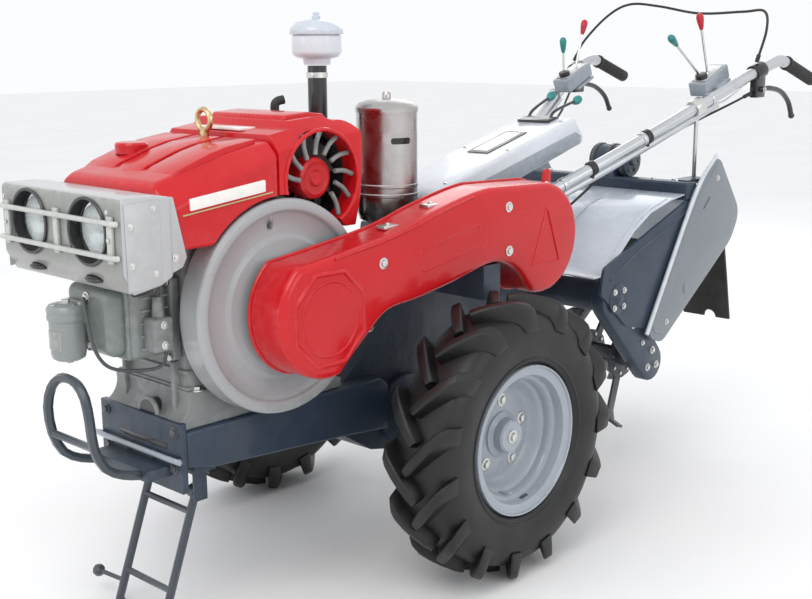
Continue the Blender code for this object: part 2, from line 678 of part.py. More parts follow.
def bar_points(side):
    """The handlebar's middle line, from its bracket to the grip."""
    points = [(-0.5065, 0.100, 0.772), (-0.600, 0.125, 0.806), (-0.900, 0.215, 0.932),
              (-1.200, 0.305, 1.066), (-1.320, 0.330, 1.108), (-1.380, 0.334, 1.120),
              (-1.415, 0.3355, 1.114)]
    return [(x, side * y, z) for x, y, z in points]


def bar_space(side):
    """Clears a clamp's bore round the handlebar."""
    return tube("bar_space", bar_points(side), HANDLE_R + GAP, steps=3, fine=2)


def along_bar(side, x):
    """The bar's middle at this x, on the straight line between its points."""
    points = bar_points(side)
    for (xa, ya, za), (xb, yb, zb) in zip(points, points[1:]):
        if xb <= x <= xa:
            share = (x - xa) / (xb - xa)
            return Vector((x, ya + (yb - ya) * share, za + (zb - za) * share))
    return Vector(points[-1])


def clamp(name, side, x, length, radius):
    return rod(name, along_bar(side, x + length / 2), along_bar(side, x - length / 2), radius, sides=16)


def make_handles():
    top = 0.797
    rear = -0.500
    front = -0.3805 - GAP
    bracket = box("bracket", (rear, -0.125, 0.715), (front, 0.125, top))
    part(bevelled(bracket, 0.010, 2), "handle_bracket", BLUE_PAINT)
    for side, word in both_sides():
        bar = tube("bar", bar_points(side), HANDLE_R, steps=3, fine=2)
        part(bar, "handlebar_" + word, SILVER_PAINT)
        start = Vector(bar_points(side)[-1])
        end = Vector((GRIP_END[0], side * GRIP_END[1], GRIP_END[2]))
        way = (end - start).normalized()
        grip = rod("grip", start + way * 0.0012, end, GRIP_R)
        part(bevelled(grip, 0.006, 2), "grip_" + word, BLACK_PLASTIC)
        make_clutch_lever(side, word)


def make_clutch_lever(side, word):
    """The steering clutch's hand lever, under the bar."""
    collar = clamp("collar", side, -1.272, 0.050, 0.026)
    at = along_bar(side, -1.272)
    lug = box("lug", (at.x - 0.028, at.y - 0.008, at.z - 0.060), (at.x + 0.018, at.y + 0.008, at.z))
    points = [(-1.276, 0.3245, 1.040), (-1.330, 0.330, 1.042), (-1.400, 0.332, 1.030),
              (-1.455, 0.331, 0.998), (-1.484, 0.330, 0.955)]
    lever = tube("lever", [(x, side * y, z) for x, y, z in points], 0.0075, steps=2, fine=1)
    whole = cut(join(collar, lug, lever), bar_space(side))
    part(whole, "clutch_lever_" + word, STEEL_PLATE)


def make_controls(side, word, knobs):
    """A switch box clamped to the bar, with two knobbed levers on it."""
    at = along_bar(side, -1.140)
    collar = clamp("collar", side, -1.140, 0.040, 0.025)
    y = side * (abs(at.y) - 0.048)
    low = (at.x - 0.060, min(y - 0.030, y + 0.030), at.z + 0.004)
    high = (at.x + 0.060, max(y - 0.030, y + 0.030), at.z + 0.052)
    case = bevelled(box("case", low, high), 0.006, 2)
    tie = box("tie", (at.x - 0.020, min(y, at.y), at.z + 0.006), (at.x + 0.020, max(y, at.y), at.z + 0.030))
    pieces = [tie, collar]
    for start, tip in knobs:
        foot = Vector((start, y, at.z + 0.045))
        tip = Vector((tip[0], y, tip[1]))
        way = (tip - foot).normalized()
        pieces.append(rod("stem", foot, tip, 0.004, sides=8))
        pieces.append(rod("knob", tip - way * 0.030, tip + way * 0.012, 0.008, 0.014, sides=10))
    part(cut(join(case, *pieces), bar_space(side)), "controls_" + word, CAST_PAINT)


def make_console():
    """The pale sheet cover over the gearbox's rear and the roots of the handlebars."""
    outline = [(-0.130, 0.8005), (-0.360, 0.8005), (-0.740, 0.905), (-0.742, 0.930), (-0.700, 0.980),
               (-0.150, 0.832), (-0.130, 0.822)]
    body = bevelled(slab("body", outline, -0.088, 0.088), 0.012, 3, angle=40)
    part(body, "console", SILVER_PAINT)
    rise = (0.980 - 0.832) / (0.700 - 0.150)
    seat = Vector((-0.660, 0.0, 0.980 - 0.040 * rise))
    plate = box("plate", (-0.025, -0.060, GAP), (0.025, 0.045, GAP + 0.007))
    plate.data.transform(Matrix.Translation(seat) @ Matrix.Rotation(atan2(rise, 1.0), 4, "Y"))
    stems = []
    for y, tip in ((-0.045, (-0.770, 1.030)), (0.030, (-0.790, 1.020))):
        foot = Vector((-0.662, y, seat.z + 0.006))
        end = Vector((tip[0], y, tip[1]))
        way = (end - foot).normalized()
        stems.append(rod("stem", foot, end, 0.004, sides=8))
        stems.append(rod("knob", end - way * 0.028, end + way * 0.014, 0.009, 0.015, sides=10))
    part(join(plate, *stems), "gear_levers", STEEL_PLATE)


def make_cables():
    """The control cable that arches between the handlebars, and one down from each hand lever."""
    arch_points = [(-1.262, -0.3215, 1.118), (-1.270, -0.290, 1.180), (-1.290, -0.215, 1.258),
                   (-1.300, -0.140, 1.292), (-1.300, -0.036, 1.284), (-1.300, 0.105, 1.260),
                   (-1.300, 0.250, 1.262), (-1.298, 0.318, 1.262), (-1.285, 0.335, 1.210),
                   (-1.262, 0.3215, 1.118)]
    part(tube("arch", arch_points, 0.004, steps=3, fine=1), "control_cable", BLACK_PLASTIC)
    for side, word in both_sides():
        points = [(-1.2433, 0.3185, 1.030), (-1.180, 0.288, 1.000), (-1.050, 0.232, 0.945),
                  (-0.800, 0.165, 0.850), (-0.600, 0.125, 0.735), (-0.470, 0.095, 0.680),
                  (-0.3815, 0.080, 0.672)]
        line = tube("line", [(x, side * y, z) for x, y, z in points], 0.0035, steps=2, fine=1)
        part(line, "clutch_cable_" + word, BLACK_PLASTIC)


# ---------------------------------------------------------------- rotary tiller

def rounded(corners, steps=5):
    """A closed outline through (x, z, radius) corners, each one rounded by its radius."""
    points = []
    for k, (x, z, radius) in enumerate(corners):
        here = Vector((x, z))
        before = (Vector(corners[k - 1][:2]) - here).normalized()
        after = (Vector(corners[(k + 1) % len(corners)][:2]) - here).normalized()
        half = before.angle(after) / 2
        middle = here + (before + after).normalized() * (radius / sin(half))
        start = here + before * (radius * cos(half) / sin(half)) - middle
        sweep = start.angle_signed(here + after * (radius * cos(half) / sin(half)) - middle)
        for step in range(steps + 1):
            turn = Matrix.Rotation(-sweep * step / steps, 2)
            points.append(tuple(middle + turn @ start))
    return points


def sheet(name, path, thick, y_low, y_high):
    """A bent plate: a path in X and Z with its thickness, as wide as from y_low to y_high."""
    line = [Vector(p) for p in path]
    over, under = [], []
    for k, point in enumerate(line):
        before = (point - line[k - 1]).normalized() if k else None
        after = (line[k + 1] - point).normalized() if k + 1 < len(line) else None
        way = ((before or after) + (after or before)).normalized()
        lean = way.dot(after or before)
        normal = Vector((-way.y, way.x)) * (thick / 2 / lean)
        over.append(tuple(point + normal))
        under.append(tuple(point - normal))
    return slab(name, over + under[::-1], y_low, y_high)


def make_tiller_case():
    """The drive casting behind the gearbox, with the cross tube that carries the side frames."""
    case = box("case", (-0.665, -0.070, 0.455), (-0.3805 - GAP, 0.070, 0.585))
    x, z = CROSS_TUBE
    reach = ROTOR_HALF + GAP
    cross = rod("cross", (x, -reach, z), (x, reach, z), 0.040)
    part(join(bevelled(case, 0.012, 2), cross), "tiller_case", BLUE_PAINT)


def make_side_frame(side, word):
    """The rotor's arm, with the plate outside it that carries the crossbar."""
    inner = ROTOR_HALF + 2 * GAP
    outer = inner + ARM_THICK
    xa, za = CROSS_TUBE
    xb, zb = ROTOR
    tilt = atan2(zb - za, xb - xa) * 180 / pi
    outline = arc(xa, za, 0.058, tilt + 90, tilt + 270, 10) + arc(xb, zb, 0.052, tilt - 90, tilt + 90, 10)
    low, high = sorted((side * inner, side * outer))
    arm = bevelled(slab("arm", outline, low, high), 0.006, 2)
    under = BEAM[1] - BEAM_SIZE / 2 - GAP
    corners = [(-0.535, 0.610, 0.020), (-0.520, 0.545, 0.020), (-0.640, 0.440, 0.030),
               (-0.800, 0.400, 0.040), (-0.915, 0.560, 0.060), (-0.984, under, 0.004),
               (-0.926, under, 0.004)]
    low, high = sorted((side * (outer - 0.001), side * (outer + SIDE_THICK)))
    plate = slab("plate", rounded(corners, 3), low, high)
    part(join(arm, plate), "side_frame_" + word, BLUE_PAINT)


def side_face():
    """How far out the side frames' plates reach."""
    return ROTOR_HALF + 2 * GAP + ARM_THICK + SIDE_THICK


def make_shield(side, word):
    inner = side_face() + GAP
    outer = inner + 0.018
    corners = [(-1.068, 0.866, 0.030), (-0.955, 0.772, 0.100), (-0.724, 0.396, 0.028),
               (-0.800, 0.368, 0.040), (-1.160, 0.612, 0.120), (-1.205, 0.690, 0.060)]
    low, high = sorted((side * inner, side * outer))
    plate = bevelled(slab("plate", rounded(corners, 4), low, high), 0.005, 2)
    part(plate, "side_shield_" + word, SHIELD_PAINT)


def make_beam():
    """The crossbar over the tiller, with the lugs of the rear cover and the depth rod."""
    half = BEAM_SIZE / 2
    x, z = BEAM
    reach = side_face() - GAP
    bar = bevelled(box("bar", (x - half, -reach, z - half), (x + half, reach, z + half)), 0.005, 1)
    px, pz = COVER_PIVOT
    lugs = []
    for side in (1, -1):
        low, high = sorted((side * 0.2803, side * 0.2883))
        lugs.append(box("lug", (px - 0.010, low, pz - 0.010), (x - half + 0.005, high, pz + 0.010)))
    drum = rod("drum", (-0.985, -0.030, 0.838), (-0.985, 0.090, 0.838), 0.045)
    neck = box("neck", (-0.975, 0.000, z), (-0.935, 0.060, 0.838))
    shelf = box("shelf", (-1.066, 0.240, z + half - 0.008), (x, 0.292, z + half + 0.004))
    part(join(bar, several("lugs", lugs), drum, neck, shelf), "tiller_beam", BLUE_PAINT)
    foot = z + half + 0.004 + GAP
    top = along_bar(1, -1.045)
    stem = rod("stem", (top.x, top.y, foot), (top.x, top.y, top.z - 0.004), 0.006, sides=16)
    collar = clamp("collar", 1, -1.045, 0.030, 0.024)
    part(cut(join(stem, collar), bar_space(1)), "depth_rod", STEEL_PLATE)


def make_tiller_hood():
    """The pale sheet over the tines, from the drive case up to the crossbar."""
    half = side_face() - SIDE_THICK - 0.001 - GAP
    path = [(-0.500, 0.5875), (-0.545, 0.5875), (-0.600, 0.622), (-0.680, 0.688), (-0.760, 0.730),
            (-0.860, 0.754), (BEAM[0] + BEAM_SIZE / 2 + GAP, 0.762)]
    part(sheet("sheet", path, 0.004, -half, half), "tiller_hood", SILVER_PAINT)


def make_rear_cover():
    """The hinged cover behind the tines, with its rubber flap."""
    x, z = COVER_PIVOT
    hinge = pivot("rear_cover_axis", (x, 0.0, z))
    barrel = rod("barrel", (x, -0.280, z), (x, 0.280, z), 0.007, sides=16)
    lower, upper = Vector((-1.190, 0.575)), Vector((-1.165, 0.640))
    path = [(x - 0.003, z), (-1.060, 0.735), (-1.120, 0.695), tuple(upper), tuple(lower)]
    cover = sheet("cover", path, 0.004, -0.278, 0.278)
    part(join(cover, barrel), "rear_cover", SILVER_PAINT, hinge)
    way = (lower - upper).normalized()
    out = Vector((way.y, -way.x)) * 0.0064
    path = [tuple(upper + way * 0.034 + out), tuple(lower + out), (-1.215, 0.500), (-1.248, 0.352)]
    part(sheet("flap", path, 0.008, -0.285, 0.285), "rear_flap", TYRE_RUBBER, hinge)


def make_rotor():
    """The tine shaft: five flanges of four bent tines, each set turned on from the last."""
    x, z = ROTOR
    hinge = pivot("rotor_axis", (x, 0.0, z))
    shaft = rod("shaft", (x, -ROTOR_HALF, z), (x, ROTOR_HALF, z), 0.026, sides=12)
    flanges, tines = [], []
    for k in range(5):
        y = (k - 2) * 0.100
        flanges.append(rod("flange", (x, y - 0.005, z), (x, y + 0.005, z), 0.062, sides=12))
        for turn in range(4):
            toe = 1 if turn % 2 else -1
            path = [(0.040, 0.0), (0.155, 0.0), (0.182, 0.010), (TINE_R - 0.006, 0.042)]
            tine = sheet("tine", [(r, toe * out) for r, out in path], 0.007, -0.014, 0.014)
            tine.data.transform(Matrix.Rotation(radians(90), 4, "X"))
            tine.data.transform(Matrix.Translation((x, y, z))
                                @ Matrix.Rotation(radians(90 * turn + 18 * k), 4, "Y"))
            tines.append(tine)
    part(join(shaft, several("flanges", flanges), several("tines", tines)), "tine_rotor", DARK_STEEL,
         hinge)


# ---------------------------------------------------------------- the whole tractor

RED_PAINT = material("red_paint", RED, 0.25)
BLUE_PAINT = material("blue_paint", BLUE, 0.40)
CAST_PAINT = material("cast_paint", CAST, 0.50)
PALE_PAINT = material("pale_paint", PALE, 0.40)
SILVER_PAINT = material("silver_paint", SILVER, 0.35)
SHIELD_PAINT = material("shield_paint", (0.30, 0.32, 0.36), 0.45)
RIM_PAINT = material("rim_paint", (0.70, 0.71, 0.73), 0.35, 0.6)
STAINLESS = material("stainless", STEEL, 0.28, 1.0)
STEEL_PLATE = material("steel_plate", (0.45, 0.44, 0.40), 0.40, 1.0)
DARK_STEEL = material("dark_steel", DARK, 0.50, 0.4)
BLACK_PLASTIC = material("black_plastic", BLACK, 0.45)
TYRE_RUBBER = material("tyre_rubber", (0.022, 0.022, 0.023), 0.80)
LAMP_GLASS = material("lamp_glass", (0.75, 0.77, 0.78), 0.10)


def main():
    for side, word in both_sides():
        make_wheel(side, word)
        make_axle_housing(side, word)
        make_rail(side, word)
        make_side_frame(side, word)
        make_shield(side, word)
    make_front_plate()
    make_bumper()
    make_stand()
    make_gearbox()
    make_engine()
    make_flywheel()
    make_clutch_pulley()
    make_belts()
    make_belt_cover()
    make_tank()
    make_hood()
    make_lamp_box()
    make_fuel_filter()
    make_air_cleaner()
    make_muffler()
    make_handles()
    make_controls(1, "left", [(-1.130, (-1.080, 1.225)), (-1.100, (-0.960, 1.175))])
    make_controls(-1, "right", [(-1.150, (-1.190, 1.215)), (-1.105, (-1.100, 1.160))])
    make_console()
    make_cables()
    make_tiller_case()
    make_beam()
    make_tiller_hood()
    make_rear_cover()
    make_rotor()


main()
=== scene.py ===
"""The looks of a walking tractor with a rotary tiller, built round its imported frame.

Sizes are in metres. Every shape is drawn from the wheel axle's line in X, as the frame's own
joints give it, from the middle in Y and from the ground in Z.
"""

import json
from math import atan2, cos, hypot, pi, radians, sin

import bmesh
import bpy
from mathutils import Matrix, Vector
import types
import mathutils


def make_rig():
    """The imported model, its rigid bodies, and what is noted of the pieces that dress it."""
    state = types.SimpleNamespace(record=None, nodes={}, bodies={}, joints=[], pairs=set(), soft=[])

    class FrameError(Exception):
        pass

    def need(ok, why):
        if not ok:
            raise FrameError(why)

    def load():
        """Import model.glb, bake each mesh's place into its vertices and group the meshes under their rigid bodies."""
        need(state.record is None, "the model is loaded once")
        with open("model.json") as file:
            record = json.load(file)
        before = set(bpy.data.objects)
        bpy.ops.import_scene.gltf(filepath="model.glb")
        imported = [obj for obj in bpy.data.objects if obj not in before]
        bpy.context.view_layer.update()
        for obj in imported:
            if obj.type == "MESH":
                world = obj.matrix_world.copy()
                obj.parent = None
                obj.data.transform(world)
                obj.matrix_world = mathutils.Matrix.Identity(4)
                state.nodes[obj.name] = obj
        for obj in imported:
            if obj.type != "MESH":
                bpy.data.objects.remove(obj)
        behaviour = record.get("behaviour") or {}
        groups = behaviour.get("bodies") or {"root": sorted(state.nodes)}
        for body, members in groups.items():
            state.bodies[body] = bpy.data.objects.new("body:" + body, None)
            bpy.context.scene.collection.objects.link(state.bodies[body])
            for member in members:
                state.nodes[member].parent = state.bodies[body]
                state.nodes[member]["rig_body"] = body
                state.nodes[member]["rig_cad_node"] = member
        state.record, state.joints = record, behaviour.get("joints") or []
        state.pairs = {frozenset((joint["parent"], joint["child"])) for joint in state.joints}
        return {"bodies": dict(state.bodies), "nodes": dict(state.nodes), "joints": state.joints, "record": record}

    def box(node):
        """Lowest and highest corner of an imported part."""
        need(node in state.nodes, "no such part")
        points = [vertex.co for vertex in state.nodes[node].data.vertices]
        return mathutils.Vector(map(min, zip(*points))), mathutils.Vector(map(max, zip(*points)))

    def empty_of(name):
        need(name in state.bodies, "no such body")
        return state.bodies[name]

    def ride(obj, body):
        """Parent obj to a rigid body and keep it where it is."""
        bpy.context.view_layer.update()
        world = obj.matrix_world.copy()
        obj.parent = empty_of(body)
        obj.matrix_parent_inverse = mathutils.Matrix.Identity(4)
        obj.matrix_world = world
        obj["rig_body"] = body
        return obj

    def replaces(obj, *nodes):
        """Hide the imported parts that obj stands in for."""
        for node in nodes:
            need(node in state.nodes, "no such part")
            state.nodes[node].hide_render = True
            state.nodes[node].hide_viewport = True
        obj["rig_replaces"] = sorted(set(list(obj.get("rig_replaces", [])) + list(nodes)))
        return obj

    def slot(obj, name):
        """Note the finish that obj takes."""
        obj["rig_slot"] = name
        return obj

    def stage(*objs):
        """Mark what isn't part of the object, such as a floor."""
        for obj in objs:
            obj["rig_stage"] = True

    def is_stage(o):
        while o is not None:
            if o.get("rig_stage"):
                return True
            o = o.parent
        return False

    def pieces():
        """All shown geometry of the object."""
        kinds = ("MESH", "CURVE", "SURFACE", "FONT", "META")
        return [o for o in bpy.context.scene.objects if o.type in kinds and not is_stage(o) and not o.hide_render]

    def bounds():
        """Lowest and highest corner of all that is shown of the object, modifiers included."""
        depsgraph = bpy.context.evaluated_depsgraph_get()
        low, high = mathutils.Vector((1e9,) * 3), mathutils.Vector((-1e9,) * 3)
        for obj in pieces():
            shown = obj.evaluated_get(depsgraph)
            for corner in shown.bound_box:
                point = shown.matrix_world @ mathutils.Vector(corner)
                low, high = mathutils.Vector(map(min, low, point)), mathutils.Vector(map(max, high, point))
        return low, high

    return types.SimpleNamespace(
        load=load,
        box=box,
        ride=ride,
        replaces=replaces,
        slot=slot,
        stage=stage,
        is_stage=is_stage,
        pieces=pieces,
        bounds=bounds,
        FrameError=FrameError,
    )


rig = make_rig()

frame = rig.load()
CAD_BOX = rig.bounds()
JOINTS = {joint["name"]: joint for joint in frame["joints"]}


def joint_place(name):
    return Vector(JOINTS[name]["pos_m"])


AXLE_X = joint_place("wheel_left_roll").x
ORIGIN = Vector((AXLE_X, 0.0, 0.0))


def centre_of(joint):
    """A joint's x and z, with x from the wheel axle."""
    at = joint_place(joint) - ORIGIN
    return at.x, at.z


def node_box(node):
    """A node's corners, with x from the wheel axle."""
    low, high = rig.box(node)
    return Vector(low) - ORIGIN, Vector(high) - ORIGIN


# ---------------------------------------------------------------- ways of making shapes

def from_bmesh(name, bm, smooth=35):
    mesh = bpy.data.meshes.new(name)
    bmesh.ops.recalc_face_normals(bm, faces=bm.faces)
    bm.to_mesh(mesh)
    bm.free()
    obj = bpy.data.objects.new(name, mesh)
    bpy.context.scene.collection.objects.link(obj)
    obj.location = ORIGIN
    if smooth:
        mesh.shade_smooth()
        mesh.set_sharp_from_angle(angle=radians(smooth))
    return obj


def applied(obj, smooth=35):
    """The object with its modifiers made part of its mesh."""
    bpy.context.view_layer.update()
    graph = bpy.context.evaluated_depsgraph_get()
    mesh = bpy.data.meshes.new_from_object(obj.evaluated_get(graph))
    old = obj.data
    obj.modifiers.clear()
    obj.data = mesh
    bpy.data.meshes.remove(old)
    mesh.shade_smooth()
    mesh.set_sharp_from_angle(angle=radians(smooth))
    return obj


def remove(*objs):
    for obj in objs:
        bpy.data.objects.remove(obj, do_unlink=True)


def box(name, low, high, rounding=0.0, segments=3):
    bm = bmesh.new()
    bmesh.ops.create_cube(bm, size=1.0)
    bmesh.ops.scale(bm, vec=[b - a for a, b in zip(low, high)], verts=bm.verts)
    bmesh.ops.translate(bm, vec=[(a + b) / 2 for a, b in zip(low, high)], verts=bm.verts)
    obj = from_bmesh(name, bm)
    return rounded_edges(obj, rounding, segments) if rounding else obj


def turn_to(direction):
    return Vector(direction).to_track_quat("Z", "Y").to_matrix().to_4x4()


def rod(name, start, end, radius, end_radius=None, sides=32, rounding=0.0):
    start, end = Vector(start), Vector(end)
    bm = bmesh.new()
    bmesh.ops.create_cone(
        bm, cap_ends=True, segments=sides, radius1=radius,
        radius2=radius if end_radius is None else end_radius, depth=(end - start).length,
        matrix=Matrix.Translation((start + end) / 2) @ turn_to(end - start))
    obj = from_bmesh(name, bm)
    return rounded_edges(obj, rounding, 2) if rounding else obj


def ball(name, at, radius, squash=(1, 1, 1), sides=24):
    bm = bmesh.new()
    bmesh.ops.create_uvsphere(bm, u_segments=sides, v_segments=sides // 2, radius=radius)
    bmesh.ops.scale(bm, vec=squash, verts=bm.verts)
    bmesh.ops.translate(bm, vec=at, verts=bm.verts)
    return from_bmesh(name, bm, 60)


def slab(name, outline, y_low, y_high, rounding=0.0, segments=3, angle=30):
    """A flat outline in X and Z, as thick as from y_low to y_high."""
    bm = bmesh.new()
    near = [bm.verts.new((x, y_low, z)) for x, z in outline]
    bm.faces.new(near)
    made = bmesh.ops.extrude_face_region(bm, geom=bm.faces[:])
    moved = [v for v in made["geom"] if isinstance(v, bmesh.types.BMVert)]
    bmesh.ops.translate(bm, vec=(0, y_high - y_low, 0), verts=moved)
    obj = from_bmesh(name, bm)
    return rounded_edges(obj, rounding, segments, angle) if rounding else obj


def spun(name, profile, centre, axis, steps, smooth=35):
    """A profile of radius and height, turned round a line along Y or Z."""
    bm = bmesh.new()
    if axis == "Y":
        points = [bm.verts.new((r, h, 0.0)) for r, h in profile]
        line = (0, 1, 0)
    else:
        points = [bm.verts.new((r, 0.0, h)) for r, h in profile]
        line = (0, 0, 1)
    for a, b in zip(points, points[1:]):
        bm.edges.new((a, b))
    bmesh.ops.spin(bm, geom=bm.verts[:] + bm.edges[:], cent=(0, 0, 0), axis=line, angle=2 * pi,
                   steps=steps)
    bmesh.ops.remove_doubles(bm, verts=bm.verts, dist=1e-6)
    bmesh.ops.translate(bm, vec=centre, verts=bm.verts)
    return from_bmesh(name, bm, smooth)


def turned(name, profile, x, z, steps=96, smooth=35):
    return spun(name, profile, (x, 0, z), "Y", steps, smooth)


def upright(name, profile, x, y, steps=64, smooth=35):
    return spun(name, profile, (x, y, 0), "Z", steps, smooth)


def smooth_through(points, steps):
    """Points on a Catmull-Rom curve through the given ones."""
    given = [Vector(p) for p in points]
    given = [2 * given[0] - given[1]] + given + [2 * given[-1] - given[-2]]
    path = []
    for a, b, c, d in zip(given, given[1:], given[2:], given[3:]):
        for step in range(steps):
            t = step / steps
            path.append(((2 * b) + (c - a) * t + (2 * a - 5 * b + 4 * c - d) * t * t
                         + (3 * b - a - 3 * c + d) * t * t * t) / 2)
    return path + [given[-2]]


def tube(name, points, radius, steps=8, fine=6, closed=False):
    """A bent round bar through the points."""
    curve = bpy.data.curves.new(name, "CURVE")
    curve.dimensions = "3D"
    curve.bevel_depth = radius
    curve.bevel_resolution = fine
    curve.use_fill_caps = not closed
    path = smooth_through(points, steps) if steps > 1 else [Vector(p) for p in points]
    spline = curve.splines.new("POLY")
    spline.use_cyclic_u = closed
    spline.points.add(len(path) - 1)
    for point, at in zip(spline.points, path):
        point.co = (*at, 1.0)
    guide = bpy.data.objects.new(name + "_curve", curve)
    bpy.context.scene.collection.objects.link(guide)
    bpy.context.view_layer.update()
    mesh = bpy.data.meshes.new_from_object(
        guide.evaluated_get(bpy.context.evaluated_depsgraph_get()))
    remove(guide)
    bm = bmesh.new()
    bm.from_mesh(mesh)
    bpy.data.meshes.remove(mesh)
    bmesh.ops.remove_doubles(bm, verts=bm.verts, dist=1e-5)
    return from_bmesh(name, bm, 50)


def rounded_edges(obj, width, segments=3, angle=30):
    step = obj.modifiers.new("rounding", "BEVEL")
    step.width = width
    step.segments = segments
    step.limit_method = "ANGLE"
    step.angle_limit = radians(angle)
    step.harden_normals = False
    return applied(obj)


def booleaned(base, tools, operation):
    for tool in tools:
        step = base.modifiers.new("step", "BOOLEAN")
        step.object = tool
        step.operation = operation
    applied(base)
    remove(*tools)
    return base


def cut(base, *tools):
    return booleaned(base, tools, "DIFFERENCE")


def gathered(name, pieces, smooth=35):
    """Several shapes as one mesh, each keeping its own surface."""
    bm = bmesh.new()
    for piece in pieces:
        bm.from_mesh(piece.data)
        remove(piece)
    mesh = bpy.data.meshes.new(name)
    bm.to_mesh(mesh)
    bm.free()
    obj = bpy.data.objects.new(name, mesh)
    bpy.context.scene.collection.objects.link(obj)
    obj.location = ORIGIN
    mesh.shade_smooth()
    mesh.set_sharp_from_angle(angle=radians(smooth))
    return obj


def moved(obj, matrix):
    obj.data.transform(matrix)
    return obj


def arc(x, z, radius, start, end, count):
    angles = [radians(start + (end - start) * k / count) for k in range(count + 1)]
    return [(x + radius * cos(a), z + radius * sin(a)) for a in angles]


def rounded(corners, steps=8):
    """A closed outline through (x, z, radius) corners, each one rounded by its radius."""
    points = []
    for k, (x, z, radius) in enumerate(corners):
        here = Vector((x, z))
        before = (Vector(corners[k - 1][:2]) - here).normalized()
        after = (Vector(corners[(k + 1) % len(corners)][:2]) - here).normalized()
        half = before.angle(after) / 2
        middle = here + (before + after).normalized() * (radius / sin(half))
        start = here + before * (radius * cos(half) / sin(half)) - middle
        sweep = start.angle_signed(here + after * (radius * cos(half) / sin(half)) - middle)
        for step in range(steps + 1):
            turn = Matrix.Rotation(-sweep * step / steps, 2)
            points.append(tuple(middle + turn @ start))
    return points


def hex_bolt(at, direction, size, washer=True):
    """A hexagon bolt's head with its washer, standing on a face."""
    at, way = Vector(at), Vector(direction).normalized()
    head = rod("head", at + way * size * 0.15, at + way * size * 0.80, size, sides=6,
               rounding=size * 0.10)
    if not washer:
        return head
    ring = rod("washer", at, at + way * size * 0.22, size * 1.45, sides=24, rounding=size * 0.05)
    return gathered("bolt", [head, ring])


def finished(shape, name, surface, replaces=(), body="chassis", slot=None):
    """Gives a shape its name, its finish, the body it rides on and the nodes it stands for."""
    obj = gathered(name, shape) if isinstance(shape, list) else shape
    obj.name = name
    obj.data.name = name
    obj.data.materials.clear()
    obj.data.materials.append(surface)
    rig.ride(obj, body)
    if replaces:
        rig.replaces(obj, *replaces)
    slot = slot or SLOT_OF.get(surface)
    if slot:
        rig.slot(obj, slot)
    return obj


def both_sides():
    return ((1, "left"), (-1, "right"))



# ---------------------------------------------------------------- surfaces

WHITE = (1.0, 1.0, 1.0)


def tinted(colour, by):
    return (*[min(1.0, c * by) for c in colour], 1.0)


